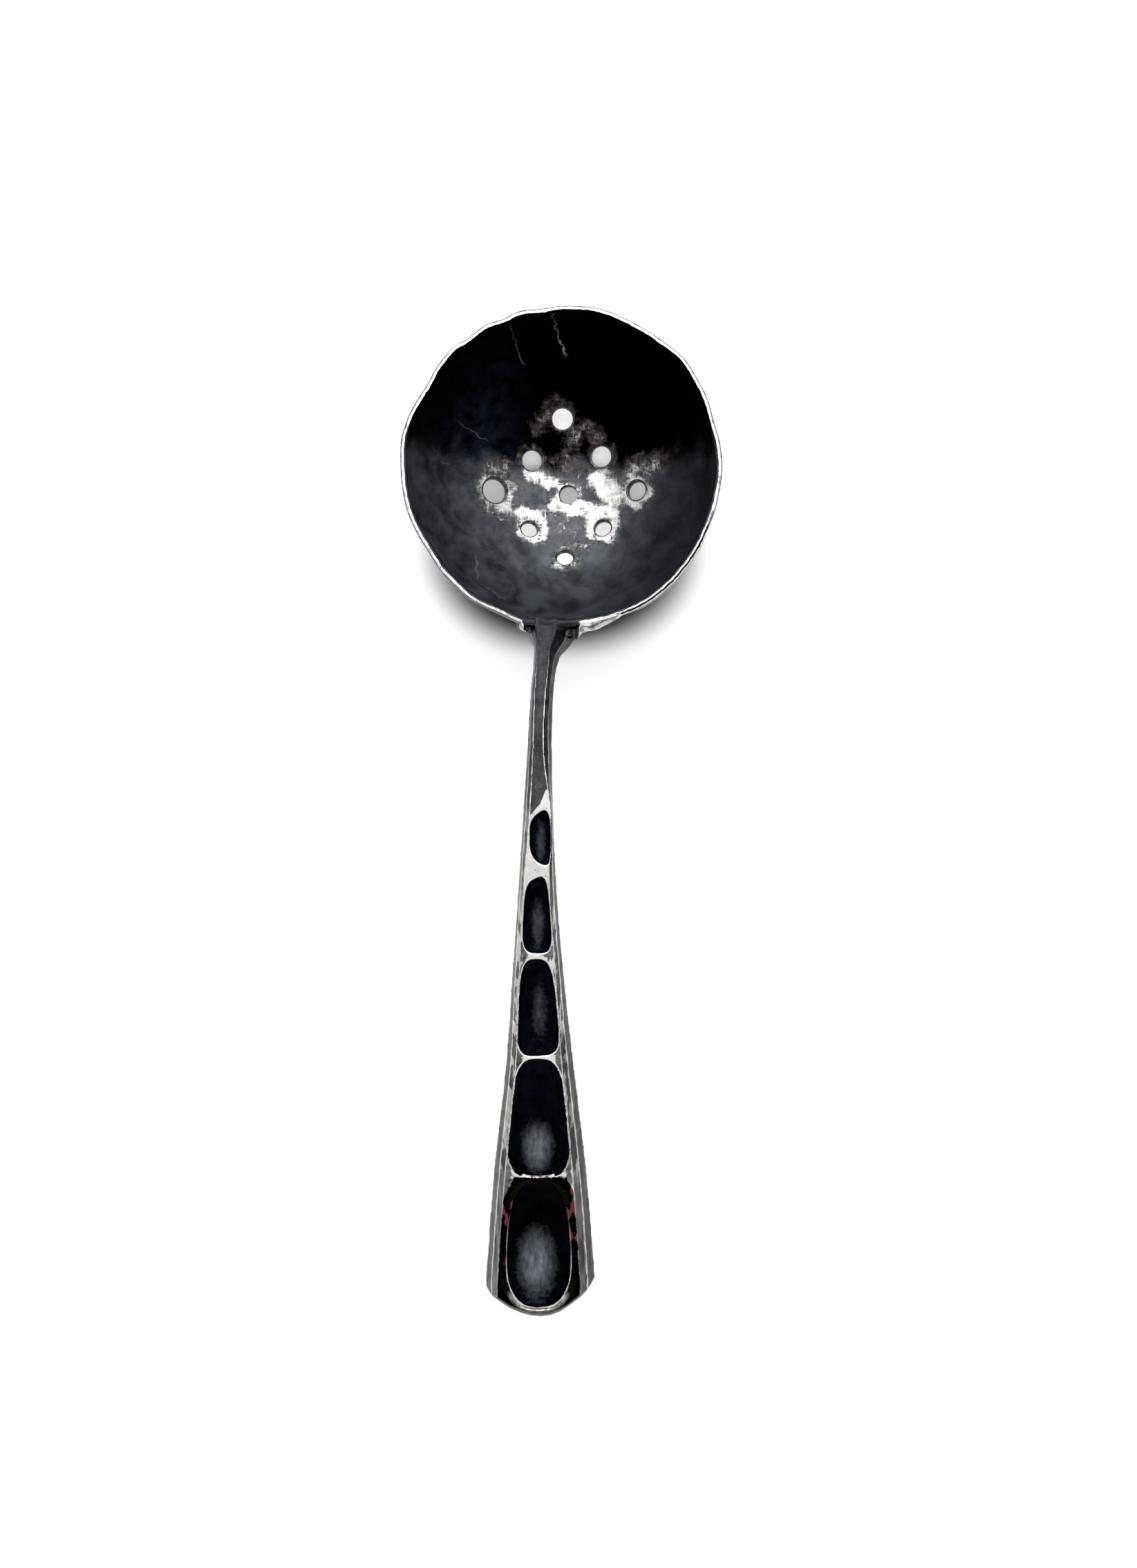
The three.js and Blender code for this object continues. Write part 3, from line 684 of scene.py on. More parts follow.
# %% Unevenness of filing and polishing
WAVER_LENGTH = 3.2
WAVER = 0.22  # half of it outwards and half inwards
FILED_FROM, FILED_OVER = 0.3, 1.5  # z where it begins, and the height over which it comes to full depth
waver = relief("filed_waver", "CLOUDS", WAVER_LENGTH, noise_depth=2)
off_table = np.clip((points_of(handle)[:, 2] - FILED_FROM) / FILED_OVER, 0, 1)
push(handle, WAVER, off_table, mid_level=0.5, **waver)
print("handle:", len(handle.data.vertices), "points")

# %% [markdown]
# ## Which skin the handle has where
# Several skins meet on the handle: satin grey on the stem, streaky grey on the sides, polish on the
# lands, a matt blue-black in the cells. They meet at edges that the remeshed skin no longer knows. The
# frame's handle still has them, as edges between facets, so its facets are sorted first: a facet belongs
# to a cell if it lies well below the handle's top, and to the sides if it faces outwards or down.

# %% Sort the facets
STEM_LENGTH = 39.6
HANDLE_LENGTH = 156.5
TIP_START = 148.2
LEVEL_LENGTH, REST_LENGTH = 12, 11
STEM_UNDERSIDE = 20.8
ROOT_DROP, ROOT_LENGTH = 4.2, 9
STEM_THICKNESS, END_THICKNESS = 4.4, 5.2
STEM_FOLD, END_FOLD = 3.1, 3.9  # height of the fold between the two planes of the bevelled sides
SHOULDER_SEEN = 0.12  # a facet whose middle lies deeper than this belongs to a cell
LAST_CELL, SHOULDER_DEPTH = 123, 0.52  # the last cell begins here, and only below its shoulder
CELL_DEEPEST, CELL_MIDDLE = 3.5, 1.8  # a steep facet is a cell's if less deep, and so near the middle
SIDE_TURN, UNDER_TURN = 0.25, 0.2  # how far a facet's normal points outwards on the sides, and down below
TIP_TURN, TIP_DEEPEST = 0.4, 1.2  # how far it points away from the bowl on the tip, and how deep that goes
MIDLINE = ([0, 6, 12, 23, 35], [-3, -3.5, -4.1, -4.7, -5.1])  # places along, and x of the middle there


def smoothstep(values, low, high):
    """0 up to low, 1 from high on, and a soft rise between."""
    share = np.clip((values - low) / (high - low), 0, 1)
    return share * share * (3 - 2 * share)


def handle_at(along):
    """Heights of the handle's underside, its sides' fold and its top, so far from the bowl."""
    share = smoothstep(along, 0, TIP_START)
    thickness = STEM_THICKNESS + (END_THICKNESS - STEM_THICKNESS) * share
    fold = STEM_FOLD + (END_FOLD - STEM_FOLD) * share
    level = STEM_UNDERSIDE * (1 - smoothstep(along, LEVEL_LENGTH, HANDLE_LENGTH - REST_LENGTH))
    top = level + thickness
    bottom = level - ROOT_DROP * (1 - smoothstep(along, 0, ROOT_LENGTH))
    return bottom, bottom + fold * (top - bottom) / thickness, top


TOP, SIDE, CELL, TIP = range(4)
along = -facet_middles[:, 1] - BOWL_RADIUS
sunk = handle_at(along)[2] - facet_middles[:, 2]
outwards = facet_normals[:, 0] * np.sign(facet_middles[:, 0] - np.interp(along, *MIDLINE))
upwards = facet_normals[:, 2]
sort = np.full(len(along), TOP)
in_cells = (along > STEM_LENGTH - 3) & (along < HANDLE_LENGTH - 1.5)
seen = np.where(along < LAST_CELL, SHOULDER_SEEN, SHOULDER_DEPTH)
sort[in_cells & (sunk > seen) & (upwards > 0)] = CELL
at_tip = (facet_normals[:, 1] < -TIP_TURN) & (along > TIP_START - 3) & (upwards > 0.3)
sort[at_tip & (sunk < TIP_DEEPEST)] = TIP
sort[(outwards > SIDE_TURN) & (sort != TIP)] = SIDE
sort[(upwards < UNDER_TURN) & (sort != CELL) & ((upwards < -UNDER_TURN) | ~in_cells)] = SIDE
near_middle = abs(facet_middles[:, 0] - np.interp(along, *MIDLINE)) < CELL_MIDDLE
sort[in_cells & (sunk > seen) & (sunk < CELL_DEEPEST) & (upwards > -0.3) & near_middle] = CELL
sort[(facet_normals[:, 1] > 0.5) & (along < ROOT_END)] = TOP
print("facets by kind:", np.bincount(sort))

# %% [markdown]
# Every edge between two kinds of facets is then sampled finely, and each point of the remeshed skin
# measures its distance to the nearest sample: positive on one side of the edge and negative on the
# other. Such a signed distance runs evenly through the mesh, so the material can draw a line along the
# edge that is much finer than the mesh itself, and ragged or worn as it likes.

# %% Signed distances from the edges
EDGE_STEP = 0.12  # between two samples
facets_beside = {}
for index, corners in enumerate(facet_corners):
    for pair in zip(corners, corners[1:] + corners[:1]):
        facets_beside.setdefault(frozenset(pair), []).append(index)


def into(kind):
    """Signed distance of the handle's points from the edge round a kind of facets, positive on these."""
    belongs = sort == kind
    samples = []
    for pair, sides in facets_beside.items():
        if len({belongs[side] for side in sides}) == 2:
            one, other = (facet_points[corner] for corner in pair)
            count = max(1, math.ceil((other - one).length / (EDGE_STEP * MM)))
            samples += [one.lerp(other, step / count) for step in range(count + 1)]
    search = KDTree(len(samples))
    for index, sample in enumerate(samples):
        search.insert(sample, index)
    search.balance()
    away = np.array([search.find(point)[2] for point in skin_points]) / MM
    return np.where(belongs[nearest], away, -away)


skin_points = [vertex.co for vertex in handle.data.vertices]
nearest = np.array([facets.find_nearest(point)[2] for point in skin_points])
for name, kind in (("into_cell", CELL), ("into_side", SIDE), ("into_tip", TIP)):
    mark(handle, name, into(kind))
print("edges between facets:", len(facets_beside))

# %% [markdown]
# Two more marks are plain sums: how high a point is above the fold in the bevelled sides, and how much
# the patina is worn in the low middle of each cell, where a thumb and a cloth reach it. The same mark
# carries a painted soft highlight there, where a cell's floor would catch the light.

# %% Height above the fold, wear and painted highlight in the cells
CELL_WEAR_AND_SHEEN = [  # x, place along the handle, reach across and along, strength
    (-4.5, 46, 1.0, 4.5, 0.42), (-5.2, 64, 1.3, 5.0, 0.5), (-5.0, 84.5, 1.7, 7.0, 0.36),
    (-5.6, 116.5, 2.7, 4.3, 1.05), (-5.9, 144.3, 3.4, 6.0, 1.05),
]
WEAR_FALL = 0.9  # how steeply the wear falls off from there
points = points_of(handle)
along = -points[:, 1] - BOWL_RADIUS
_, fold, top = handle_at(along)
mark(handle, "above_fold", points[:, 2] - fold)
wear_and_sheen = np.zeros(len(points))
for x, middle, across_reach, along_reach, strength in CELL_WEAR_AND_SHEEN:
    away = ((points[:, 0] - x) / across_reach) ** 2 + ((along - middle) / along_reach) ** 2
    wear_and_sheen = np.maximum(wear_and_sheen, strength * np.exp(-away * WEAR_FALL))
mark(handle, "worn_and_sheen", wear_and_sheen)
print("deepest, mm:", round(float((top - points[:, 2])[along > STEM_LENGTH].max()), 2))

# %% [markdown]
# ## The solder
# Silver solder holds the handle to the bowl. At the right it ran on along the outside of the rim and
# froze with a wrinkled skin, and at the left a drop stands by itself. The copy is grown by the gap that
# the frame leaves round it, so that it touches what it joins. In the neck it sinks below the root's top,
# and the run to the right is drawn on to the rim.

# %% Solder seam
SOLDER_GROW = ROOT_GAP
SOLDER_VOXEL = 0.14  # side of its small squares
WRINKLE_LENGTH, WRINKLE = 1.9, 0.34
SINK = 2.1  # how far it sinks in the neck
NECK_ACROSS = (-8.2, -7.2, 2.9, 3.9)  # x where the neck begins, is full from and to, and ends
NECK_UP = (20, 23.5)  # z over which it comes to sink so far
ON_RIM = 1.1  # how far the run is drawn on to the rim
RUN_ACROSS, RUN_UP = (3.2, 4.6), (21, 24)  # x and z over which it comes to be drawn so far
solder = copy_of("solder_seam", "molten_solder")
modify(solder, "REMESH", mode="VOXEL", voxel_size=SOLDER_VOXEL * MM, use_smooth_shade=True)
push(solder, SOLDER_GROW)
modify(solder, "SMOOTH", factor=0.5, iterations=4)
push(solder, WRINKLE, mid_level=1, **relief("molten_wrinkles", "CLOUDS", WRINKLE_LENGTH, noise_depth=1))
points = points_of(solder)
begins, full_from, full_to, ends = NECK_ACROSS
in_neck = smoothstep(points[:, 0], begins, full_from) * smoothstep(-points[:, 0], -ends, -full_to)
push(solder, -SINK, in_neck * smoothstep(points[:, 2], *NECK_UP), direction="Z")
in_run = smoothstep(points[:, 0], *RUN_ACROSS) * smoothstep(points[:, 2], *RUN_UP)
push(solder, ON_RIM, in_run, direction="Y")
print("solder:", len(solder.data.polygons), "faces")

# %% [markdown]
# ## Parts of the materials
# All the metals share a few building blocks. Noise is measured in millimetres on the object itself. A
# patina is a cloud between a dark and a light tone. A mask is a number from 0 to 1 that says where one
# tone or roughness gives way to another. Metals keep the default index of refraction. A patina is a skin
# of sulphide, so it is only partly a metal to light: it shows its own colour more and the room less.

# %% Building blocks
between = partial(add, "MapRange")  # one range to another, held at its ends
shift = partial(add, "Mix", data_type="FLOAT")  # a number where a mask is 0, and another where it is 1


def past(value, limit, soft, *ends):
    """Mask of what lies past a limit, with an edge that is soft to both sides of it."""
    return between(value, limit - soft, limit + soft, *ends)


def noise(size, detail=4.0, stretch=(1, 1, 1), distortion=0.0):
    """Noise with features about so many millimetres across, drawn out by a factor along each axis."""
    scale = [1 / (size * MM * factor) for factor in stretch]
    scaled = add("Mapping", add("TexCoord").outputs["Object"], named={"Scale": scale})
    return add("TexNoise", scaled, named={
        "Scale": 1.0, "Detail": detail, "Roughness": 0.6, "Distortion": distortion}).outputs["Fac"]


def wander(reach, size, detail, **settings):
    """Noise that wanders to both sides of 0, over so wide a range."""
    return times(minus(noise(size, detail, **settings), 0.5), reach)


def painted(name):
    """A mark that was painted on the points."""
    return add("Attribute", attribute_name=name).outputs["Fac"]


def patina(dark, light, size):
    """A cloudy colour between a dark and a light tone."""
    return blend(between(noise(size, 5, distortion=0.4), 0.36, 0.64), dark, light)


def finish_metal(colour, roughness, height, relief, metallic=1.0):
    """Closes a graph with a metal shader over a fine relief, so many millimetres high."""
    uneven = add("Bump", named={"Height": height, "Distance": relief * MM, "Strength": 0.6})
    metal = add("BsdfPrincipled", named={
        "Metallic": metallic, "Base Color": colour, "Roughness": roughness, "Normal": uneven})
    add("OutputMaterial", metal)


def from_axis(names):
    """Some of x, y and z in millimetres from the foot of the bowl's axis."""
    where = add("VectorMath", add("TexCoord").outputs["Object"], place(0, 0, 0), operation="SUBTRACT")
    part = add("SeparateXYZ", where).outputs
    return [maths("DIVIDE", part[name], MM) for name in names]


# %% [markdown]
# ## Material: blackened sheet
# Inside, the bowl is white metal, an alloy of copper, nickel and zinc, blackened in a sulphur bath. The
# bath leaves a blue-black skin that is satin, cloudy and never even. On the side away from the handle it
# is painted full black, as painted shade, and the half near the handle is painted lighter, as lit. Where
# it was scoured lightly, it is a mottled grey, and where it was scoured hard, the bright metal shows
# through, with fine scratches that run along and across. A few single scratches cross the black.

# %% Blackened inside of the bowl, with painted shade on its far side
CLOUD = 6.0  # width of the clouds in the blue-black
GREYED, BARE = (0.16, 0.5), (0.58, 1.0)  # how rubbed a place is where it turns grey, and where bare metal
SCRATCH_WIDTH = 0.4  # true scouring scratches are finer, these are drawn as wide as a picture shows
FAR_SHADE_RANGE = (1.5, 9.5)  # from which to which y the painted shade of the far side deepens
FAR_SHADE_STRAYS = 22  # how far that border wanders
DIM_SIDE = (4, 24)  # from which to which x the rest of it grows darker
BLUE_IN_SHADE = (-20, -4)  # and to which x a little blue stays in the full black
SCRATCHES = [  # from x, y to x, y, half the width, strength
    (-12.2, 32.7, -8.3, 25.8, 0.2, 0.35), (-2.6, 34, 1, 27.6, 0.22, 0.75),
    (-23.8, 13.6, -16.4, 10.5, 0.2, 0.1), (-19.5, -15.4, -18.7, -22.9, 0.3, 0.2),
    (-18.7, -22.9, -11.8, -27.5, 0.25, 0.15), (-27.5, 4.4, -25, 4, 0.3, 0.2),
]
SCRATCH_END = 1.5  # how long its fading ends are
SCRATCH_CROOK = 2.2  # how far it strays from a straight line
tree = fresh(bpy.data.materials[FINISHES[INSIDE]])
x, y = from_axis("XY")
lengthwise = noise(SCRATCH_WIDTH, 3, stretch=(1, 9, 1))
crosswise = noise(SCRATCH_WIDTH, 3, stretch=(9, 1, 1))
scouring = minus(largest(lengthwise, crosswise), 0.56)
ragged = plus(times(scouring, 1.3), wander(1.6, 3.0, 8, distortion=0.3))
spots = painted("rubbed")
level = plus(spots, times(ragged, between(spots, 0, 0.3)))
greyed = between(level, *GREYED)
bare = between(level, *BARE)
crook = wander(SCRATCH_CROOK, 1.7, 4)
scratched = 0.0
for x0, y0, x1, y1, half_width, strength in SCRATCHES:
    length = math.hypot(x1 - x0, y1 - y0)
    way_x, way_y = (x1 - x0) / length, (y1 - y0) / length
    from_x, from_y = minus(x, (x0 + x1) / 2), minus(y, (y0 + y1) / 2)
    along = maths("ABSOLUTE", plus(times(from_x, way_x), times(from_y, way_y)))
    aside = maths("ABSOLUTE", plus(minus(times(from_x, way_y), times(from_y, way_x)), crook))
    here = times(between(aside, 0.3 * half_width, half_width, strength, 0),
                 between(along, length / 2 - SCRATCH_END, length / 2, 1, 0))
    scratched = largest(here, scratched)
# The far side is painted full black as shade, and the near half is the painted lit copy of the blue-black.
far_shade = ease(plus(y, wander(FAR_SHADE_STRAYS, 7, 4, distortion=0.4)), *FAR_SHADE_RANGE)
lit_blue_black = blend(ease(x, *DIM_SIDE), patina("#25272f", "#54585f", CLOUD),
                   patina("#191b22", "#33363e", CLOUD))
shaded_black = blend(ease(x, *BLUE_IN_SHADE), patina("#010208", "#1a1e2a", 4.0), "#010102")
half = blend(far_shade, patina("#2f2f31", "#626163", 1.3), patina("#2a2626", "#564e4c", 1.5))
colour = blend(greyed, blend(far_shade, lit_blue_black, shaded_black), half)
colour = blend(bare, colour, patina("#bdbbb8", "#efeeeb", 1.2))
colour = blend(scratched, colour, "#c9c8c6")
grain = plus(noise(1.2, 5), times(scouring, 0.4))
finish_metal(colour, shift(bare, 0.42, 0.26), grain, 0.05, largest(shift(far_shade, 0.55, 1.0), greyed))
print("inside:", len(tree.nodes), "nodes")

# %% [markdown]
# ## Material: polished rim
# The rim was filed level and polished, but only its outer half: the black of the inside comes over the
# inner corner, and on the far side that is painted near black, as painted shade. What is left is a thin
# white line round the bowl, with a line of painted shade along the outer corner, grey near the handle
# and darker on the far side. To the right of the handle a dark stripe of painted shade lies between two
# bright corners. Over the handle's neck nobody polished the rim, and the patina runs across.

# %% Polished rim, with painted shade
NECK_FROM, NECK_TO, NECK_SOFT = -8.2, 3.9, 0.2  # x of the unpolished stretch over the neck
RIM_BLACK_FROM = 0.82  # how far behind the outer skin the black begins
STRIPE_DEPTHS = (0.15, 0.58)  # from which to which depth the dark stripe right of the handle lies
STRIPE_RIGHT, STRIPE_NEAR = (9, 13), (-13, -9)  # x and y over which the stripe of painted shade begins and ends
OUTER_SHADE_REACH = 0.3  # how far the greyer line reaches in
LINE_SOFT, STRIPE_SOFT = 0.04, 0.05  # how soft their edges are, to each side
tree = fresh(bpy.data.materials[FINISHES[RIM]])
x, y = from_axis("XY")
uneven = wander(0.55, 1.6, 5)
torn = plus(x, times(uneven, 4))
neck = times(window(between, torn, NECK_FROM - NECK_SOFT, NECK_FROM, NECK_TO, NECK_TO + NECK_SOFT),
             maths("LESS_THAN", y, 0))
depth = plus(painted("from_skin"), uneven)
# The dark stripe right of the handle is painted shade.
stripe_place = times(between(x, *STRIPE_RIGHT), between(y, *STRIPE_NEAR, 1, 0))
outer_corner_shade = times(past(depth, OUTER_SHADE_REACH, LINE_SOFT, 1, 0), minus(1.0, stripe_place))
shaded_stripe = times(stripe_place, past(depth, STRIPE_DEPTHS[0], STRIPE_SOFT), past(depth, STRIPE_DEPTHS[1], STRIPE_SOFT, 1, 0))
dents = between(noise(2.6, 4), 0.56, 0.62)
tone = blend(dents, patina("#dddcd9", "#fbfaf7", 1.8), "#97979a")
# The line along the outer corner is painted shade, grey near the handle and darker on the far side.
tone = blend(outer_corner_shade, tone, blend(ease(y, -4, 6), "#77777a", "#2b2b2d"))
tone = blend(shaded_stripe, tone, patina("#050506", "#2a2a2c", 2.0))
dull = largest(past(depth, RIM_BLACK_FROM, LINE_SOFT), neck)
# On the far side the dull inner corner is painted near black: painted shade.
tone = blend(dull, tone, blend(ease(y, *FAR_SHADE_RANGE), patina("#26282d", "#3d4045", 3.0), "#020203"))
finish_metal(tone, shift(dull, 0.2, 0.42), noise(1.6, 3), 0.06)
print("rim:", len(tree.nodes), "nodes")

# %% [markdown]
# ## Material: outside of the bowl
# Outside, hands and a polishing cloth kept the metal lighter: a gunmetal grey with darker patina left in
# the hammer's dishes.

# %% Gunmetal outside
tree = fresh(bpy.data.materials[FINISHES[OUTSIDE]])
rough = between(noise(3.0, 4), 0.3, 0.7, 0.2, 0.34)
finish_metal(patina("#38383b", "#747376", 5.0), rough, noise(1.2, 3), 0.03)
print("outside:", len(tree.nodes), "nodes")

# %% [markdown]
# ## Material: hole walls
# A drill leaves a fairly bright wall, but the bath reached it too, so it is greyer than the scoured sheet
# round it. Its grey is dark enough to draw a dark outline round each hole, partly painted shade for the
# shadow inside the hole.

# %% Greyed hole walls
tree = fresh(bpy.data.materials[FINISHES[HOLE_WALLS]])
# The walls' grey is partly painted shade inside the holes.
finish_metal(patina("#2c2c2e", "#757472", 1.3), 0.28, noise(0.6, 3), 0.03)
print("hole walls:", len(tree.nodes), "nodes")

# %% [markdown]
# ## Material: the handle
# One material covers the whole casting, because its skins meet in worn edges. It starts as the satin
# grey of the stem. The sides have two planes, a lower grey one and an upper one that grows bright along
# the handle, with dark patches where the polish missed it. The lands between the cells are polished, and
# the cells are matt blue-black, worn in their low middles, where a painted soft highlight lies too. The
# last cell lies in a glossy surround that is painted dark, partly patina and partly painted dark
# reflection, with a few painted reflections of something dark red. Thin bright lines run where edges
# wore; they are also painted highlights on the rounded edges.

# %% Masks on the handle
EDGE_SOFT = 0.05  # millimetres over which one skin turns into the next, to each side
CREST_HALF = 0.17  # half the width of the bright line along the stem's edges
FOLD_AT, FOLD_HALF = 0.1, 0.14  # the line along the sides' fold
OUTLINE_IN, OUTLINE_HALF = 0.08, 0.22  # the line round the cells, this far inside their edge
CREST_GROWS, CREST_FADES = (3, 20), (124, 132)  # places along the handle, as all that follow
FOLD_GROWS = (12, 50)
OUTLINE_GAP = (121.2, 122.2, 131, 139)  # here the last cell has none: begins, is full from and to, and ends
MIRROR_FROM, MIRROR_TO, MIRROR_SOFT = 123.3, 150, 0.2  # the glossy surround of the last cell, painted dark as a reflection
MIRROR_MIDDLE, MIRROR_HALF = -5.0, 6.0  # its upper end is an arch, level so far to both sides
ARCH_FALL = 2.2  # and past these falls so steeply
RIGHT_HALF = (-5.2, -4.8)  # x over which the left of the handle ends and the right begins
BROAD = (30, 42)  # places again: the stem grows into the broad part
BESIDE_CELLS = (62, 68)  # from here on the polish missed spots of the lands beside the cells
cast = bpy.data.materials.new("cast_white_metal_part_polished")
handle.data.materials.append(cast)
tree = fresh(cast)
uneven = minus(noise(0.9, 5), 0.5)
x, y = from_axis("XY")
along_it = minus(-BOWL_RADIUS, y)


def on(name, torn):
    """Mask of what lies on the positive side of a signed distance, torn by so many millimetres."""
    return past(plus(painted(name), times(uneven, torn)), 0, EDGE_SOFT)


def line(name, at, half):
    """Mask of a worn line at a signed distance, which is also a painted highlight on the edge."""
    away = maths("ABSOLUTE", minus(painted(name), at))
    width = between(noise(1.7, 3), 0.3, 0.7, 0.5 * half, 1.5 * half)
    return between(maths("DIVIDE", away, width), 0.6, 1.0, 1, 0)


in_cell = on("into_cell", 0.2)
on_side = on("into_side", 0.15)
on_tip = on("into_tip", 0.2)
upper = on("above_fold", 0.4)
spared = window(ease, along_it, *OUTLINE_GAP)
outline = times(line("into_cell", OUTLINE_IN, OUTLINE_HALF), minus(1.0, spared))
crest = times(line("into_side", 0, CREST_HALF), ease(along_it, *CREST_GROWS),
              ease(along_it, *CREST_FADES, 1, 0.3), minus(1.0, in_cell))
fold_line = times(line("above_fold", FOLD_AT, FOLD_HALF), ease(along_it, *FOLD_GROWS, 0.15, 0.7), on_side)
streaks = noise(0.8, 5, stretch=(1, 14, 1))
streaked = between(streaks, 0.34, 0.66)
missed = ease(noise(2.8, 3, stretch=(1, 3, 1), distortion=0.5), 0.46, 0.52)
missed_more = ease(noise(2.2, 3, stretch=(1, 3.5, 1), distortion=0.5), 0.4, 0.47)
right = between(x, *RIGHT_HALF)
broad = ease(along_it, *BROAD)
torn_along = plus(along_it, times(uneven, 1.5))
over_arch = largest(minus(maths("ABSOLUTE", minus(x, MIRROR_MIDDLE)), MIRROR_HALF), 0.0)
# The glossy surround of the last cell is painted dark: partly patina, partly a painted dark reflection.
gloss_with_painted_dark = past(minus(torn_along, times(over_arch, ARCH_FALL)), MIRROR_FROM, MIRROR_SOFT)
past_mirror = ease(torn_along, MIRROR_TO, MIRROR_TO + 2)
beside_cells = times(between(plus(painted("into_side"), times(uneven, 2.5)), -1.6, -1.3), missed_more,
                     ease(along_it, *BESIDE_CELLS))
print("masks:", len(tree.nodes), "nodes")

# %% [markdown]
# Each skin is then built from its tones, and the skins are laid over one another from the bottom up: the
# stem or the polished lands, the sides, the pointed end, the cells, and last the worn bright lines, which
# are painted edge highlights too.

# %% Skins of the handle
NEAR_BOWL = (0, 7)  # places along the handle, as those below: the stem is darkest at the bowl
LAND_START = (37.6, 34.7)  # the polished lands begin, left and right of the middle
LEFT_BRIGHT, RIGHT_BRIGHT = (58, 64), (50, 56)  # the upper planes of the sides turn bright
NEAR_TIP = (119, 127)  # and grey again
CELLS_BLACKER = (96, 124)  # the cells grow blacker
REFLECTED_RED, RED_REFLECTIONS_END = "#64242c", (138, 146)  # the painted red reflections' colour, and where they end
near_tip = ease(along_it, *NEAR_TIP)


def upper_plane(misses, bright, dark, at_tip, brightens, before):
    """An upper plane of a side: bright with dark patches that the polish missed, each of them streaked."""
    tone = blend(misses, blend(streaked, *bright), blend(streaked, *dark))
    tone = blend(ease(along_it, *brightens), before, tone)
    return blend(near_tip, tone, blend(streaked, *at_tip))


speckle = times(between(noise(0.5, 3), 0.56, 0.74), 0.4)
stem = blend(speckle, patina("#2b2c30", "#4b4c4f", 3.0), "#8b8b8e")
stem = blend(ease(along_it, *NEAR_BOWL, 1, 0), stem, patina("#191b20", "#34363c", 3.0))
lower_side = blend(right, blend(streaked, "#4c4c4d", "#6c6c6b"), blend(streaked, "#3d3d3f", "#5e5e5f"))
lower_side = blend(broad, patina("#26272b", "#505154", 2.0), lower_side)
left_plane = upper_plane(missed, ("#a6a5a2", "#cccbc8"), ("#3b3b3d", "#626262"), ("#5a5a59", "#a3a3a1"),
                         LEFT_BRIGHT, blend(missed, "#7c7c7c", "#434345"))
right_plane = upper_plane(missed_more, ("#8c8b89", "#cbcac7"), ("#39393b", "#5c5b5c"),
                          ("#38383a", "#7f7f7e"), RIGHT_BRIGHT, patina("#1a1b1f", "#3a3b3f", 2.0))
upper_side = blend(broad, patina("#141519", "#2b2c31", 3.0), blend(right, left_plane, right_plane))
land_start = plus(between(x, -4.5, -3.4, *LAND_START), between(x, -6.9, -4.5, 2.8, 0))
land = past(plus(minus(along_it, land_start), times(uneven, 0.6)), 0, 0.1)
pits = between(noise(1.1, 4), 0.6, 0.66)
polished = blend(pits, "#f6f5f1", "#8d8c8a")
polished = blend(beside_cells, polished, patina("#3f3f40", "#858483", 2.0))
# Round the last cell the polish is painted near black: a painted dark reflection over glossy metal.
polished = blend(gloss_with_painted_dark, polished, "#0d0a0a")
# Past the surround the end is painted dark away from the cell, as a dark reflection, and streaked grey near
# it.
by_cell = between(painted("into_cell"), -1.3, -0.5)
polished = blend(past_mirror, polished, blend(by_cell, "#141112", blend(streaked, "#5a5655", "#b4b2af")))
# A few painted reflections of something dark red lie in the glossy surround.
red_reflection = times(gloss_with_painted_dark, between(painted("into_side"), -2.6, -2.2),
              ease(noise(2.2, 1, stretch=(1, 2.6, 1), distortion=0.4), 0.55, 0.58),
              ease(along_it, *RED_REFLECTIONS_END, 1, 0))
polished = blend(red_reflection, polished, REFLECTED_RED)
# Worn patina in the cells' low middles, with a painted soft highlight there.
worn_and_sheen = between(plus(painted("worn_and_sheen"), times(uneven, 0.4)), 0.12, 0.95)
cell_black = blend(ease(along_it, *CELLS_BLACKER), patina("#030308", "#0d0f1b", 3.0),
                   patina("#010103", "#07070e", 3.0))
worn_grey_sheen = blend(between(noise(0.9, 5, stretch=(1, 3, 1)), 0.35, 0.65), "#555b64", "#878c93")
# The bright lines are worn edges and also painted highlights on the rounded edges.
worn_edge_glint = largest(outline, crest, fold_line)
colour = blend(land, stem, polished)
rough = shift(land, 0.42, shift(minus(gloss_with_painted_dark, red_reflection), 0.4, 0.1))
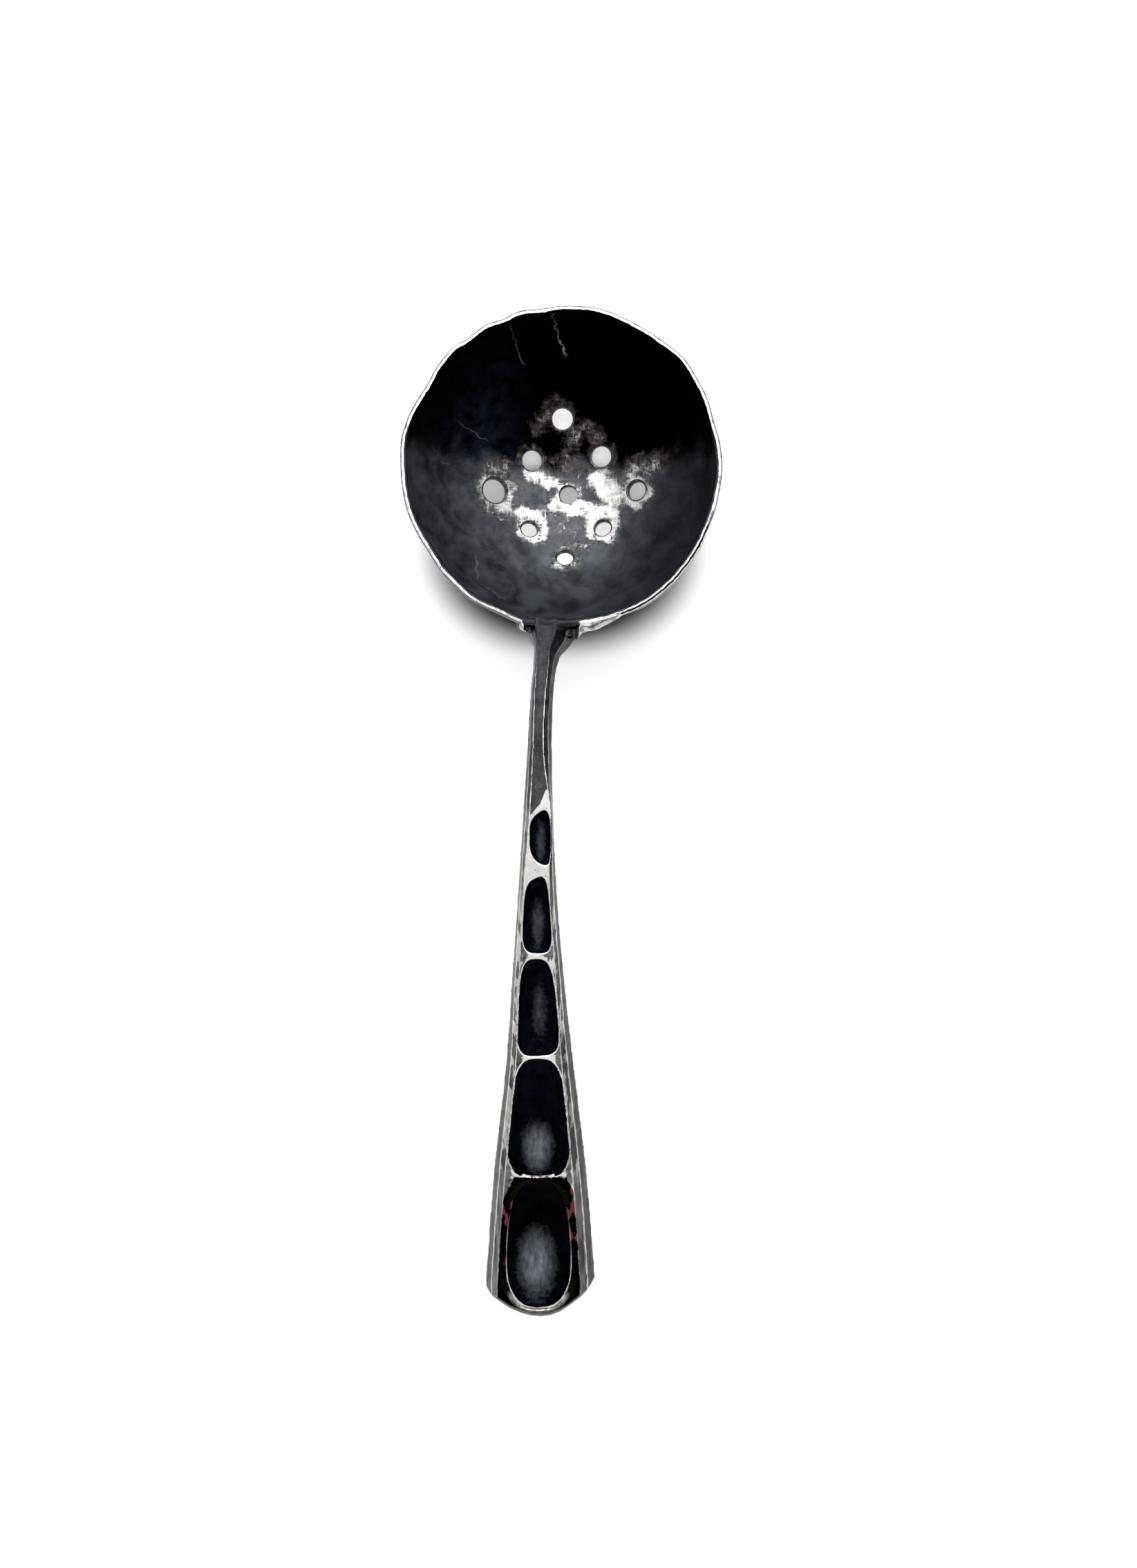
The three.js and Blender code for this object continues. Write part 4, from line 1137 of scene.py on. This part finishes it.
# The pointed end is painted dark like the surround of the last cell: partly a painted dark reflection.
for mask, tone, roughness in (
        (on_side, blend(upper, lower_side, upper_side), 0.26), (on_tip, "#2b2425", 0.12),
        (in_cell, blend(worn_and_sheen, cell_black, worn_grey_sheen), 0.5), (worn_edge_glint, "#f6f5f2", 0.3)):
    colour = blend(mask, colour, tone)
    rough = shift(mask, rough, roughness)
metallic = shift(land, 0.5, shift(gloss_with_painted_dark, 0.6, shift(red_reflection, 1.0, 0.3)))
metallic = largest(metallic, on_side, in_cell, worn_edge_glint)
filed = plus(noise(0.8, 5), times(streaks, 0.5))
finish_metal(colour, rough, filed, 0.05, metallic)
print("handle:", len(tree.nodes), "nodes")

# %% [markdown]
# ## Material: solder
# Silver solder stays bright along the rim. Below a wavering height it is painted dark grey, as painted
# shade under the run. Round the neck the bath blackened it like the stem.

# %% Bright solder
BATHED = (-7.6, -7.3, 3.4, 3.8)  # x where the bath's black begins, is full from and to, and ends
SHADED_BELOW = (22.9, 23.5)  # z where the shaded grey ends
silver = bpy.data.materials.new("bright_silver_solder")
solder.data.materials.append(silver)
tree = fresh(silver)
x, z = from_axis("XZ")
bathed = window(between, x, *BATHED)
# Below this wavering height the solder is painted dark grey: painted shade.
lit = between(plus(z, wander(3, 1.5, 3)), *SHADED_BELOW)
tone = blend(lit, "#2f2f31", patina("#8f8f8e", "#f7f6f2", 1.8))
tone = blend(bathed, tone, patina("#26282d", "#4b4c50", 2.0))
finish_metal(tone, shift(bathed, 0.22, 0.45), noise(0.8, 3), 0.06, shift(bathed, 1.0, 0.4))
print("solder:", len(tree.nodes), "nodes")

# %% [markdown]
# ## Taking the frame's places
# Each piece takes its CAD node's place and rides on the same rigid body. The box round all that was
# made here is kept within the box of the CAD model, so the few points that roughness carried past
# it, by hundredths of a millimetre, are set back on its faces, and the CAD box is printed.

# %% Take the frame's places
for piece in (bowl, handle, solder):
    for vertex in piece.data.vertices:
        vertex.co = [min(max(value, low), high) for value, low, high in zip(vertex.co, *cad_box)]
for piece, node, slot in (
        (bowl, "bowl", "darkened_sheet"), (handle, "handle", "darkened_casting"),
        (solder, "solder_seam", "bright_solder")):
    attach(piece, "root")
    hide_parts(node)
    print(piece.name, len(piece.data.polygons), "faces")
print("CAD box", cad_box)
